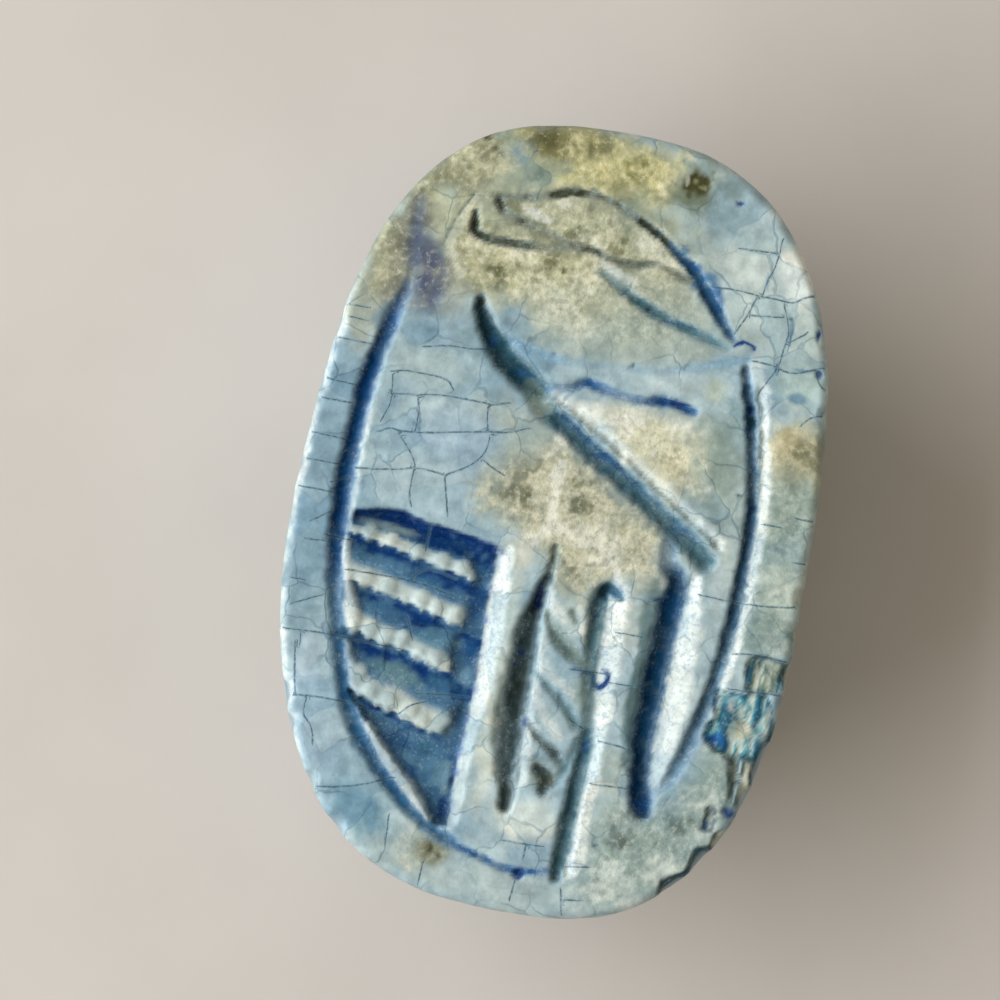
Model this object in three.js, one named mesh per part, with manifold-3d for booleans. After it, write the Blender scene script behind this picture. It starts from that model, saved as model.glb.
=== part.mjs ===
// Scarab amulet of carved and glazed steatite, one solid, in millimetres.
// It lies on its back: the domed beetle is underneath, resting on its crown at z = 0,
// and the engraved oval base looks up. +Y points to the head end, +X to the right.
import * as THREE from 'three';
import { mergeVertices } from 'three/addons/utils/BufferGeometryUtils.js';
import Module from 'manifold-3d';

const wasm = await Module();
wasm.setup();

// Driving dimensions
const LENGTH = 20.0;
const WIDTH = 13.15;
const HEIGHT = 8.7;
const OUTLINE_POWER = 2.67;     // 2 would be a plain oval, more is squarer
const BASE_THICKNESS = 1.35;    // the oval slab that carries the engraving
const BASE_EDGE_ROUND = 0.12;
const WAIST_INSET = 0.85;       // how far the flank between the legs stands in from the slab
const EQUATOR = 3.6;            // depth below the engraved face where the beetle is widest
const CROWN_TRIM = 0.07;        // worn off the crown, so that it rests on two small flats
const TUCK = 2.0;               // how far they curve back in above the equator, to the slab
const HOLE_DIAMETER = 1.7;      // threading hole, head to tail
const HOLE_DEPTH = 2.75;        // depth of its axis below the engraved face
const LEG_RADIUS = 0.66;
const LEG_BURIED = 0.7;         // how much deeper a leg's first end lies, inside the body
const OUTLINE_SEGMENTS = 84;
const OVERSHOOT = 1.0;          // how far a cutter reaches past the face it opens
const OVERLAP = 0.2;            // how far two joined forms run into each other
const LINE_SLOPE = 0.35;        // width of a cut's sloping wall, as a share of its width

// The slab's outline is a little uneven: three and four gentle waves round it.
const WAVES = [
  { count: 3, cosine: -0.065, sine: -0.05 },
  { count: 4, cosine: 0.008, sine: 0.048 },
];

// Rounded forms that together make the beetle: centre along Y, half width, half length,
// rise above the equator (towards the back) and squareness.
const CROWN_RISE = HEIGHT + CROWN_TRIM - EQUATOR;
const BODY_FORMS = {
  wingCases: { y: -2.1, halfWidth: 6.2, halfLength: 7.4, rise: CROWN_RISE, power: 2.3 },
  collar: { y: 2.9, halfWidth: 6.05, halfLength: 4.6, rise: CROWN_RISE, power: 2.2 },
  head: { y: 6.7, halfWidth: 3.5, halfLength: 2.7, rise: 2.9, power: 2.2 },
  clypeus: { y: 8.3, halfWidth: 2.3, halfLength: 1.5, rise: 1.1, power: 2.2 },
};
const EYES = { x: 3.0, y: 6.9, radius: 0.95, rise: 0.9 };

// Legs on the right flank: angle round the outline (0 is +X, 90 the head) and depth
// below the engraved face. The left flank mirrors them.
const LEGS = [
  [[24, 3.3], [38, 3.1], [54, 2.6], [68, 2.1], [78, 1.7]],
  [[14, 3.4], [2, 3.0], [-14, 2.4], [-30, 1.9], [-40, 1.6]],
  [[-8, 3.8], [-22, 3.5], [-40, 3.1], [-56, 2.6], [-68, 2.1], [-78, 1.7]],
];

// Incised lines of the base. Each point is [x, y, width of the cut at the face].
const ENGRAVED_LINES = {
  borderLeft: { depth: 0.34, through: [[-4.3, 8.0, 0.3], [-4.75, 7.2, 0.36],
    [-4.6, 6.0, 0.36], [-4.8, 4.7, 0.36], [-5.2, 3.4, 0.4], [-5.38, 1.8, 0.38],
    [-5.43, 0, 0.36], [-5.32, -1.8, 0.36], [-5.05, -3.3, 0.36], [-4.6, -4.9, 0.36],
    [-3.9, -6.3, 0.32], [-2.9, -7.5, 0.3], [-1.8, -8.2, 0.26]] },
  borderFoot: { depth: 0.16, through: [[-1.1, -8.55, 0.2], [-0.2, -8.8, 0.2],
    [1.2, -8.85, 0.2]] },
  borderRight: { depth: 0.32, through: [[4.05, 4.6, 0.28], [4.4, 3.5, 0.28],
    [4.7, 2.2, 0.28], [4.85, 0.8, 0.3], [4.83, -0.8, 0.3], [4.77, -2.0, 0.3],
    [4.55, -3.5, 0.3], [4.15, -5.1, 0.3], [3.8, -6.1, 0.26]] },
  borderHead: { depth: 0.2, through: [[3.7, 5.4, 0.28], [3.1, 6.1, 0.34],
    [2.5, 6.9, 0.3], [1.5, 7.6, 0.26], [0.3, 8.1, 0.24], [-0.8, 8.3, 0.24],
    [-2.0, 8.12, 0.24], [-3.2, 8.35, 0.24], [-4.0, 8.2, 0.24]] },
  crossingUpper: { depth: 0.5, through: [[-2.8, 5.1, 0.4],
    [-2.35, 4.4, 0.5], [-1.8, 3.7, 0.54], [-1.0, 3.3, 0.44]] },
  crossingLower: { depth: 0.42, through: [[-0.6, 2.75, 0.4],
    [0, 2.3, 0.52], [1.5, 1.4, 0.54], [3.0, 0.5, 0.54], [4.0, -0.3, 0.5]] },
  arm: { depth: 0.2, through: [[0.05, 3.55, 0.24], [0.6, 3.6, 0.24],
    [1.5, 3.42, 0.2], [2.3, 3.45, 0.24], [3.05, 3.38, 0.24]] },
  shoulder: { depth: 0.1, through: [[-1.2, 4.12, 0.2], [0.4, 4.1, 0.2],
    [2.0, 4.25, 0.2], [3.1, 4.5, 0.22], [4.0, 4.9, 0.2]] },
  wingEdge: { depth: 0.22, through: [[0.2, 6.3, 0.26], [1.2, 5.85, 0.32],
    [2.2, 5.45, 0.34], [3.4, 5.15, 0.26]] },
  browLower: { depth: 0.2, through: [[-3.2, 7.35, 0.26], [-3.2, 6.95, 0.28],
    [-2.5, 6.8, 0.28], [-1.2, 6.82, 0.24], [0.3, 6.88, 0.26], [1.4, 6.7, 0.24],
    [2.2, 6.75, 0.22]] },
  browUpper: { depth: 0.2, through: [[-2.75, 7.75, 0.28], [-2.3, 7.42, 0.28],
    [-1.5, 7.2, 0.26], [-0.9, 7.02, 0.22]] },
  legLeft: { depth: 0.6, through: [[0.08, -1.0, 0.22],
    [-0.05, -2.2, 0.36], [-0.22, -3.6, 0.6], [-0.24, -5.2, 0.62], [-0.05, -7.2, 0.5]] },
  legMiddle: { depth: 0.48, through: [[1.5, -1.35, 0.36],
    [1.38, -2.4, 0.46], [1.5, -4.0, 0.4], [1.66, -5.6, 0.34], [1.56, -7.2, 0.38],
    [1.47, -8.75, 0.34]] },
  legRight: { depth: 0.7, through: [[3.25, -0.95, 0.8],
    [3.05, -2.4, 0.95], [3.05, -4.4, 0.75], [3.15, -5.9, 0.55], [3.35, -6.8, 0.45]] },
  twistFirst: { depth: 0.14, through: [[0.2, -2.5, 0.3], [0.7, -3.2, 0.3],
    [1.2, -3.6, 0.3]] },
  twistSecond: { depth: 0.14, through: [[0.15, -3.9, 0.3], [0.6, -4.5, 0.3],
    [1.2, -4.9, 0.3]] },
  twistThird: { depth: 0.16, through: [[0.35, -5.3, 0.4], [0.8, -5.9, 0.6],
    [0.9, -6.7, 0.5]] },
};

// The sunk panel of feathers on the left and the feathers left standing in it.
const PANEL_DEPTH = 0.5;
const PANEL_OUTLINE = [[-5.0, -0.48], [-3.8, -0.28], [-2.4, -0.62], [-1.25, -0.85],
  [-1.35, -2.5], [-1.38, -4.5], [-1.45, -6.2], [-1.55, -7.9], [-1.9, -7.75],
  [-2.7, -6.9], [-3.6, -5.8], [-4.35, -5.1], [-4.6, -4.1], [-4.9, -2.6]];
const FEATHERS = [
  [[-5.3, -0.85, 0.3], [-4.0, -1.08, 0.36], [-3.0, -1.25, 0.4], [-2.05, -1.55, 0.36]],
  [[-5.2, -2.1, 0.3], [-4.0, -2.3, 0.3], [-3.0, -2.55, 0.4], [-1.95, -2.85, 0.4]],
  [[-5.0, -3.2, 0.3], [-4.1, -3.4, 0.5], [-3.3, -3.65, 0.45], [-2.4, -4.0, 0.4]],
  [[-4.9, -4.6, 0.5], [-4.1, -4.85, 0.7], [-3.2, -5.1, 0.7], [-2.4, -5.45, 0.5]],
];
const PANEL_SLOPE = 0.08;
const FEATHER_SUNK = 0.08;      // the feathers' tops lie this much below the face
const FEATHER_ROUND = 0.12;     // taken off the long edges of each feather

// Chips broken out of the slab's right edge: centre, size and turn about Z in degrees.
const CHIP_RADIUS = 0.62;
const CHIPS = [
  { at: [5.55, -4.3], size: [1.6, 1.6, 0.44], turn: 4 },
  { at: [6.15, -3.0], size: [1.3, 1.0, 0.5], turn: 10 },
  { at: [5.75, -5.7], size: [0.7, 1.3, 0.5], turn: -18 },
  { at: [5.1, -7.75], size: [0.7, 0.9, 0.8], turn: -35 },
  { at: [4.4, -8.7], size: [1.2, 0.4, 0.7], turn: 35 },
];

// Lines cut in the beetle's back, as places on it seen from below: [x, y].
const BACK_LINE_WIDTH = 0.5;
const COLLAR_LINE = [[-6.15, 0.5], [-4.6, 0.85], [-2.4, 1.15], [0, 1.25], [2.4, 1.15],
  [4.6, 0.85], [6.15, 0.5]];
const WING_LINE = [[0, 1.2], [0, -1.5], [0, -4], [0, -6.5], [0, -8.2], [0, -9.3]];

/** Depth below the engraved face, turned into height above the crown. */
function level(depth) {
  return HEIGHT - depth;
}

/** Distance from the axis to the slab's outline in one direction. */
function outlineRadius(angle) {
  const across = Math.abs(Math.cos(angle)) / (WIDTH / 2);
  const along = Math.abs(Math.sin(angle)) / (LENGTH / 2);
  const oval = (across ** OUTLINE_POWER + along ** OUTLINE_POWER) ** (-1 / OUTLINE_POWER);
  return WAVES.reduce((radius, wave) => radius
    + wave.cosine * Math.cos(wave.count * angle)
    + wave.sine * Math.sin(wave.count * angle), oval);
}

/** The slab's outline as a shape, standing in by an even inset. */
function outlineShape(inset) {
  const points = [];
  for (let i = 0; i < OUTLINE_SEGMENTS; i += 1) {
    const angle = (i / OUTLINE_SEGMENTS) * 2 * Math.PI;
    const radius = outlineRadius(angle) - inset;
    points.push(new THREE.Vector2(radius * Math.cos(angle), radius * Math.sin(angle)));
  }
  return new THREE.Shape(points);
}

/** A three.js geometry as a solid that can be joined and cut. */
function solid(geometry) {
  const bare = geometry.clone();
  bare.deleteAttribute('normal');
  bare.deleteAttribute('uv');
  const merged = mergeVertices(bare, 1e-4);
  const corners = merged.index.array;
  const kept = [];
  for (let i = 0; i < corners.length; i += 3) {
    const [a, b, c] = [corners[i], corners[i + 1], corners[i + 2]];
    if (a !== b && b !== c && c !== a) kept.push(a, b, c);
  }
  return new wasm.Manifold(new wasm.Mesh({
    numProp: 3,
    vertProperties: new Float32Array(merged.attributes.position.array),
    triVerts: new Uint32Array(kept),
  }));
}

/** Joins a list of solids into one. */
function join(solids) {
  return solids.reduce((whole, next) => whole.add(next));
}

/** The oval slab, its two edges slightly rounded. */
function baseSlab() {
  const slab = new THREE.ExtrudeGeometry(outlineShape(0), {
    depth: BASE_THICKNESS - 2 * BASE_EDGE_ROUND,
    bevelThickness: BASE_EDGE_ROUND,
    bevelSize: BASE_EDGE_ROUND,
    bevelOffset: -BASE_EDGE_ROUND,
    bevelSegments: 2,
  });
  slab.translate(0, 0, level(BASE_THICKNESS) + BASE_EDGE_ROUND);
  return solid(slab);
}

/** The plain flank between the slab and the beetle's widest line. */
function flank() {
  const wall = new THREE.ExtrudeGeometry(outlineShape(WAIST_INSET), {
    depth: EQUATOR - BASE_THICKNESS + 2 * OVERLAP,
    bevelEnabled: false,
  });
  wall.translate(0, 0, level(EQUATOR) - OVERLAP);
  return solid(wall);
}

/** A ball squared off to |x|^n + |y|^n + |z|^n = 1 and stretched to a body form. */
function bodyForm({ y, halfWidth, halfLength, rise, power }) {
  const ball = new THREE.SphereGeometry(1, 36, 18);
  const place = ball.attributes.position;
  for (let i = 0; i < place.count; i += 1) {
    const [px, py, pz] = [place.getX(i), place.getY(i), place.getZ(i)];
    const size = (Math.abs(px) ** power + Math.abs(py) ** power
      + Math.abs(pz) ** power) ** (-1 / power);
    const height = pz > 0 ? TUCK : rise;
    place.setXYZ(i, px * size * halfWidth, py * size * halfLength, pz * size * height);
  }
  ball.translate(0, y, level(EQUATOR));
  return solid(ball);
}

/** How deep below the engraved face the beetle's back lies over one place. */
function backDepth(x, y) {
  const depths = Object.values(BODY_FORMS).map((form) => {
    const across = Math.abs(x / form.halfWidth) ** form.power;
    const along = Math.abs((y - form.y) / form.halfLength) ** form.power;
    return EQUATOR + form.rise * Math.max(0, 1 - across - along) ** (1 / form.power);
  });
  return Math.max(...depths);
}

/** The two eyes, low bumps on the sides of the head. */
function eyes() {
  return join([-1, 1].map((side) => {
    const eye = new THREE.SphereGeometry(EYES.radius, 12, 8);
    eye.translate(side * EYES.x, EYES.y, level(EQUATOR + EYES.rise));
    return solid(eye);
  }));
}

/** A bar of round section along a line of points. */
function roundBar(points, radius, sides, steps) {
  const section = new THREE.Shape(new THREE.EllipseCurve(0, 0, radius, radius)
    .getPoints(sides).slice(0, sides));
  return solid(new THREE.ExtrudeGeometry(section, {
    extrudePath: new THREE.CatmullRomCurve3(points),
    steps,
  }));
}

/** Six folded legs that run along the flanks, three a side. */
function legs() {
  return join(LEGS.flatMap((leg) => [-1, 1].map((side) => {
    const points = leg.map(([degrees, depth], index) => {
      const angle = THREE.MathUtils.degToRad(degrees);
      const buried = index === 0 ? LEG_BURIED : 0;
      const radius = outlineRadius(angle) - WAIST_INSET - buried;
      return new THREE.Vector3(side * radius * Math.cos(angle),
        radius * Math.sin(angle), level(depth));
    });
    return roundBar(points, LEG_RADIUS, 8, 8);
  })));
}

/** The shape on the face of a line whose width changes from point to point. */
function strokeShape(through, samples) {
  const path = new THREE.CatmullRomCurve3(
    through.map(([x, y, width]) => new THREE.Vector3(x, y, width / 2)));
  const [left, right] = [[], []];
  for (let i = 0; i <= samples; i += 1) {
    const point = path.getPoint(i / samples);
    const ahead = path.getTangent(i / samples).setZ(0).normalize();
    const aside = new THREE.Vector2(-ahead.y, ahead.x).multiplyScalar(point.z);
    left.push(new THREE.Vector2(point.x, point.y).add(aside));
    right.unshift(new THREE.Vector2(point.x, point.y).sub(aside));
  }
  return new THREE.Shape([...left, ...right]);
}

/** A cutter that opens a shape in the engraved face with walls that slope in. */
function faceCutter(shape, depth, slope) {
  const cutter = new THREE.ExtrudeGeometry(shape, {
    depth: OVERSHOOT,
    bevelThickness: depth,
    bevelSize: slope,
    bevelOffset: -slope,
    bevelSegments: 1,
  });
  cutter.translate(0, 0, HEIGHT);
  return solid(cutter);
}

/** Every incised line of the base, as one cutter. */
function engravedLines() {
  return join(Object.values(ENGRAVED_LINES).map(({ through, depth }) => {
    const slope = LINE_SLOPE * Math.min(...through.map(([, , width]) => width));
    return faceCutter(strokeShape(through, 2 * through.length), depth, slope);
  }));
}

/** The sunk panel, with the feathers kept standing in it. */
function featherPanel() {
  const outline = new THREE.Shape(PANEL_OUTLINE.map(([x, y]) => new THREE.Vector2(x, y)));
  const pocket = faceCutter(outline, PANEL_DEPTH, PANEL_SLOPE);
  const feathers = FEATHERS.map((through) => {
    const feather = new THREE.ExtrudeGeometry(strokeShape(through, 2 * through.length), {
      depth: PANEL_DEPTH,
      bevelThickness: FEATHER_ROUND,
      bevelSize: FEATHER_ROUND,
      bevelOffset: -FEATHER_ROUND,
      bevelSegments: 1,
    });
    feather.translate(0, 0, HEIGHT - FEATHER_SUNK - FEATHER_ROUND - PANEL_DEPTH);
    return solid(feather);
  });
  return pocket.subtract(join(feathers));
}

/** Angular chips along the slab's right edge. */
function chips() {
  return join(CHIPS.map(({ at, size, turn }) => {
    const chip = new THREE.DodecahedronGeometry(CHIP_RADIUS);
    chip.scale(...size);
    chip.rotateZ(THREE.MathUtils.degToRad(turn));
    chip.translate(at[0], at[1], HEIGHT);
    return solid(chip);
  }));
}

/** A line cut into the beetle's back, half its own width deep. */
function backLine(places) {
  const path = new THREE.SplineCurve(places.map(([x, y]) => new THREE.Vector2(x, y)));
  const points = path.getPoints(4 * places.length).map(
    ({ x, y }) => new THREE.Vector3(x, y, level(backDepth(x, y))));
  return roundBar(points, BACK_LINE_WIDTH / 2, 5, 3 * places.length);
}

/** The threading hole from head to tail. */
function threadingHole() {
  const hole = new THREE.CylinderGeometry(HOLE_DIAMETER / 2, HOLE_DIAMETER / 2,
    LENGTH + 2 * OVERSHOOT, 16);
  hole.translate(0, 0, level(HOLE_DEPTH));
  return solid(hole);
}

/** Everything below the plane that the amulet rests on. */
function belowRest() {
  const block = new THREE.BoxGeometry(2 * WIDTH, 2 * LENGTH, HEIGHT);
  block.translate(0, 0, -HEIGHT / 2);
  return solid(block);
}

/** The whole amulet: forms joined, then everything that was cut into them. */
function scarabGeometry() {
  const beetle = Object.values(BODY_FORMS).map(bodyForm);
  const carved = join([baseSlab(), flank(), ...beetle, eyes(), legs()])
    .subtract(engravedLines())
    .subtract(featherPanel())
    .subtract(chips())
    .subtract(backLine(COLLAR_LINE))
    .subtract(backLine(WING_LINE))
    .subtract(threadingHole())
    .subtract(belowRest());
  const mesh = carved.getMesh();
  const geometry = new THREE.BufferGeometry();
  geometry.setAttribute('position', new THREE.BufferAttribute(mesh.vertProperties, 3));
  geometry.setIndex(new THREE.BufferAttribute(mesh.triVerts, 1));
  geometry.computeBoundingBox();
  const middle = geometry.boundingBox.getCenter(new THREE.Vector3());
  geometry.translate(-middle.x, -middle.y, 0);
  geometry.computeVertexNormals();
  return geometry;
}

const group = new THREE.Group();
const scarab = new THREE.Mesh(scarabGeometry(), new THREE.MeshStandardMaterial({
  color: 0xa2bac1,
  roughness: 0.45,
  metalness: 0.0,
}));
scarab.name = 'scarab';
group.add(scarab);

export default group;
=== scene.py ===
"""A glazed steatite scarab amulet lying on its back, engraved base up, on a plain pale table."""

import math

import bpy
import numpy as np
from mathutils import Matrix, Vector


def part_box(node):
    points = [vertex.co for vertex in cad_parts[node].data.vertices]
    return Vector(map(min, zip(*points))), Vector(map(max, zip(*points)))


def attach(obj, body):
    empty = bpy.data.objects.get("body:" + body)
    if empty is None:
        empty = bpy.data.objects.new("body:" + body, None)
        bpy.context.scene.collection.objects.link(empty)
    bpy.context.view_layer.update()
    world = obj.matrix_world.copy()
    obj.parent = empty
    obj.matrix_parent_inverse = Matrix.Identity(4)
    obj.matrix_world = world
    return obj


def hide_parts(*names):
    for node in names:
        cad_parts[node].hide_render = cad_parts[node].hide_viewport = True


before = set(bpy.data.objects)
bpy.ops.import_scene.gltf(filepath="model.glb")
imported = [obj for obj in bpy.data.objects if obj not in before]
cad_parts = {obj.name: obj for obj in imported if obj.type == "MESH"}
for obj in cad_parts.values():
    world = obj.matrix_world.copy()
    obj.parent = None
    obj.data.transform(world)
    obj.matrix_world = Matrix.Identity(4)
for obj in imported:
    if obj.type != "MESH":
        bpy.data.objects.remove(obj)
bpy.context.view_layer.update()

MM = 0.001
NODE_LOW, NODE_HIGH = (np.array(corner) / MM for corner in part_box("scarab"))
LENGTH, WIDTH, HEIGHT = (NODE_HIGH - NODE_LOW)[[1, 0, 2]]

# ---------------------------------------------------------------- carving sizes, in millimetres
OUTLINE_POWER = 2.67            # squareness of the oval
WAVES = ((3, -0.065, -0.05), (4, 0.008, 0.048))
SLAB = 1.35                     # thickness of the engraved slab
EDGE_ROUND = 0.26               # radius of the slab's worn upper edge
EDGE_BREAK = math.radians(45)   # slope at which the face hands over to the wall
FOOT_ROUND = 0.14               # radius of its lower edge
WAIST_INSET = 0.85              # how far the waist stands back from the slab's outline
EQUATOR = 3.6                   # depth at which the beetle is widest
TUCK = 2.0                      # how far the forms reach up from there, towards the slab
CROWN_RISE = HEIGHT + 0.07 - EQUATOR     # the crown is worn flat where it passes the height
LEG_RADIUS = 0.66
LEG_BURIED = 0.7                # how deep a leg's first end lies in the waist
LEG_FADE = 4.05                 # depth below which the legs sink into the flank
LEG_SIDE = 1.5                  # radians from straight across that the legs of a side reach
WAIST_TUCK = 0.9                # how far the waist draws in before the back begins
HOLE_RADIUS = 0.85
HOLE_DEPTH = 2.75               # from the face to the hole's axis
HOLE_FLARE = 0.14               # how much wider the thread wore the hole's two mouths
JOIN = 0.22                     # how softly the beetle's forms run into each other

BODY_FORMS = {                  # centre along Y, half width, half length, rise, squareness
    "wing cases": (-2.1, 6.2, 7.4, CROWN_RISE, 2.3),
    "collar": (2.9, 6.05, 4.6, CROWN_RISE, 2.2),
    "head": (6.7, 3.5, 2.7, 2.9, 2.2),
    "clypeus": (8.3, 2.3, 1.5, 1.1, 2.2),
    "core": (0.0, 4.9, 8.3, 2.7, 2.6),
}
EYES = ((-3.0, 6.9), (3.0, 6.9))
EYE_DEPTH, EYE_RADIUS = EQUATOR + 0.9, 0.95
LEGS = (                        # angle round the outline and depth below the face
    ((24, 3.3), (38, 3.1), (54, 2.6), (68, 2.1), (78, 1.7)),
    ((14, 3.4), (2, 3.0), (-14, 2.4), (-30, 1.9), (-40, 1.6)),
    ((-8, 3.8), (-22, 3.5), (-40, 3.1), (-56, 2.6), (-68, 2.1), (-78, 1.7)),
)

# Grid sizes, in cells. The back has half as many round it as the engraved face.
COLUMNS, ROWS = 196, 280
STEPS_TO_HOLE, ROWS_UNDER_HOLE = 15, 18  # flank rows above and below the hole's axis
WINDOW, WINDOW_REACH = 9, 14    # from the hole's axis to its mouth and to calm rows
ROW_STEP = (HOLE_DEPTH - SLAB) / STEPS_TO_HOLE
BAND_END = HOLE_DEPTH + ROWS_UNDER_HOLE * ROW_STEP   # depth at which the back begins


# ---------------------------------------------------------------- small tools
def ease(low, high, value):
    """0 below low, 1 above high, with a smooth S between."""
    t = np.clip((value - low) / (high - low), 0, 1)
    return t * t * (3 - 2 * t)


def mix(a, b, share):
    """a where share is 0 and b where it is 1."""
    return a + (b - a) * share


def soft_max(a, b, width):
    """The larger of two values, rounded over where they are within a width of each other."""
    gap = np.maximum(width - np.abs(a - b), 0) / width
    return np.maximum(a, b) + gap * gap * width / 4


def grain(x, y, z, cell, seed, octaves=3):
    """Lattice noise from about -1 to 1: random corner values of a cubic lattice, blended
    smoothly; each further octave has half the cell and half the strength."""
    table = np.random.default_rng(seed).uniform(-1, 1, (32, 32, 32))
    total, strength = 0.0, 1.0
    for _ in range(octaves):
        place = np.stack([x, y, z]) / cell + 17.3
        corner = np.floor(place).astype(int)
        part = place - corner
        part = part * part * (3 - 2 * part)
        low, high = corner % 32, (corner + 1) % 32
        value = 0.0
        for i in (0, 1):
            for j in (0, 1):
                for k in (0, 1):
                    weight = ((part[0] if i else 1 - part[0]) * (part[1] if j else 1 - part[1])
                              * (part[2] if k else 1 - part[2]))
                    value = value + weight * table[(high if i else low)[0],
                                                   (high if j else low)[1],
                                                   (high if k else low)[2]]
        total = total + strength * value
        cell, strength = cell / 2, strength / 2
    return total


def smooth_path(points, steps=5):
    """A Catmull-Rom curve through the points, whatever number of values each one has."""
    p = np.asarray(points, float)
    p = np.vstack([2 * p[0] - p[1], p, 2 * p[-1] - p[-2]])
    t = np.linspace(0, 1, steps, endpoint=False)[:, None]
    spans = [0.5 * (2 * b + (c - a) * t + (2 * a - 5 * b + 4 * c - d) * t**2
                    + (3 * b - a - 3 * c + d) * t**3)
             for a, b, c, d in zip(p, p[1:], p[2:], p[3:])]
    return np.vstack(spans + [p[-2:-1]])


def beside(x, y, path, reach):
    """For each place, its distance from the path, which side it is on (left is +1) and the
    path's further values at the nearest point. Places beyond reach are given a far distance."""
    shape = x.shape
    x, y = x.ravel(), y.ravel()
    near = ((x > path[:, 0].min() - reach) & (x < path[:, 0].max() + reach)
            & (y > path[:, 1].min() - reach) & (y < path[:, 1].max() + reach))
    px, py = x[near], y[near]
    best = np.full(px.shape, 1e3)
    side = np.ones(px.shape)
    values = np.zeros((path.shape[1] - 2, px.size))
    for a, b in zip(path[:-1], path[1:]):
        step = b[:2] - a[:2]
        t = np.clip(((px - a[0]) * step[0] + (py - a[1]) * step[1]) / (step @ step), 0, 1)
        away = px - a[0] - t * step[0], py - a[1] - t * step[1]
        distance = np.hypot(*away)
        closer = distance < best
        best[closer] = distance[closer]
        side[closer] = np.where(step[0] * away[1] - step[1] * away[0] >= 0, 1, -1)[closer]
        for row, (first, last) in enumerate(zip(a[2:], b[2:])):
            values[row, closer] = (first + (last - first) * t)[closer]
    gap, which, rest = (np.full(x.shape, 1e3), np.ones(x.shape),
                        np.zeros((values.shape[0], x.size)))
    gap[near], which[near], rest[:, near] = best, side, values
    return gap.reshape(shape), which.reshape(shape), rest.reshape((len(rest),) + shape)


def inside(x, y, corners):
    """Distance to the edge of a polygon, positive inside it and negative outside."""
    ring = np.vstack([corners, corners[:1]]).astype(float)
    gap, _, _ = beside(x, y, ring, 1e3)
    crossings = np.zeros(x.shape, int)
    for (ax, ay), (bx, by) in zip(ring[:-1], ring[1:]):
        spans = (ay > y) != (by > y)
        run = ax + (y - ay) * (bx - ax) / (by - ay if by != ay else 1e-9)
        crossings += spans & (x < run)
    return np.where(crossings % 2 == 1, gap, -gap)


# ---------------------------------------------------------------- the outline
def oval_radius(angle, half_x, half_y):
    """Superellipse radius in one direction, with three and four gentle waves round it."""
    across = np.abs(np.cos(angle)) / half_x
    along = np.abs(np.sin(angle)) / half_y
    radius = (across**OUTLINE_POWER + along**OUTLINE_POWER) ** (-1 / OUTLINE_POWER)
    for count, cosine, sine in WAVES:
        radius = radius + cosine * np.cos(count * angle) + sine * np.sin(count * angle)
    return radius


def oval_box(half_x, half_y):
    """Lowest and highest corner of the waved oval."""
    turn = np.linspace(0, 2 * math.pi, 1440, endpoint=False)
    radius = oval_radius(turn, half_x, half_y)
    return (np.array([(radius * np.cos(turn)).min(), (radius * np.sin(turn)).min()]),
            np.array([(radius * np.cos(turn)).max(), (radius * np.sin(turn)).max()]))


PLAIN_LOW, PLAIN_HIGH = oval_box(WIDTH / 2, LENGTH / 2)
SIZE = np.array([WIDTH, LENGTH])
HALF_X, HALF_Y = SIZE / 2 * SIZE / (PLAIN_HIGH - PLAIN_LOW)
MIDDLE = sum(oval_box(HALF_X, HALF_Y)) / 2     # the box's middle, seen from the oval's centre

NICKS = (                       # angle in degrees, width along the edge, loss, in millimetres
    (221.5, 0.5, 0.16), (226.5, 0.35, 0.12), (236.0, 0.4, 0.13), (243.5, 0.5, 0.14),
    (199.0, 0.3, 0.07), (176.0, 0.3, 0.06), (158.0, 0.35, 0.06), (147.0, 0.6, 0.08),
    (-8.0, 0.5, 0.10), (-24.0, 0.5, 0.10), (-40.5, 0.9, 0.20), (-46.5, 0.5, 0.16),
    (-57.5, 0.5, 0.18), (-63.0, 0.6, 0.12), (31.0, 0.5, 0.06), (-15.5, 0.35, 0.08),
)


def rim_loss(angle):
    """How far wear and nicks take the slab's edge in: placed notches plus a fine ripple."""
    loss = 0.025 * (1 + grain(HALF_X * np.cos(angle), HALF_Y * np.sin(angle),
                              np.zeros_like(angle), 0.9, 11))
    for degrees, width, size in NICKS:
        turn = np.angle(np.exp(1j * (angle - math.radians(degrees))))
        along = turn * oval_radius(angle, HALF_X, HALF_Y) / (width / 2)
        loss = loss + size * np.exp(-along**4)
    return loss


def edge_radius(angle, depth=0.0):
    """The slab's worn outline. The nicks fade out down its wall."""
    kept = oval_radius(angle, HALF_X, HALF_Y)
    return kept - rim_loss(angle) * (1 - 0.8 * ease(0.1, 0.9, depth))


def disc_grid(columns, rows):
    """A square grid bent to a unit disc: each coordinate shrinks as the other nears an edge."""
    u, v = np.meshgrid(np.linspace(-1, 1, columns + 1), np.linspace(-1, 1, rows + 1))
    return u * np.sqrt(1 - v**2 / 2), v * np.sqrt(1 - u**2 / 2)


def rim_of(grid):
    """The border of a grid as one loop, counterclockwise from its lower left corner."""
    return np.concatenate([grid[0, :-1], grid[:-1, -1], grid[-1, :0:-1], grid[:0:-1, 0]])


def set_rim(grid, loop):
    """Writes a loop into the border of a grid, in the order in which rim_of reads it."""
    rows, columns = grid.shape[0] - 1, grid.shape[1] - 1
    sides = np.split(loop, np.cumsum([columns, rows, columns]))
    grid[0, :-1], grid[:-1, -1], grid[-1, :0:-1], grid[:0:-1, 0] = sides


def disc_angle(dx, dy):
    """Direction on the oval that a place on the disc stands for."""
    return np.arctan2(dy * HALF_Y, dx * HALF_X)


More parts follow.
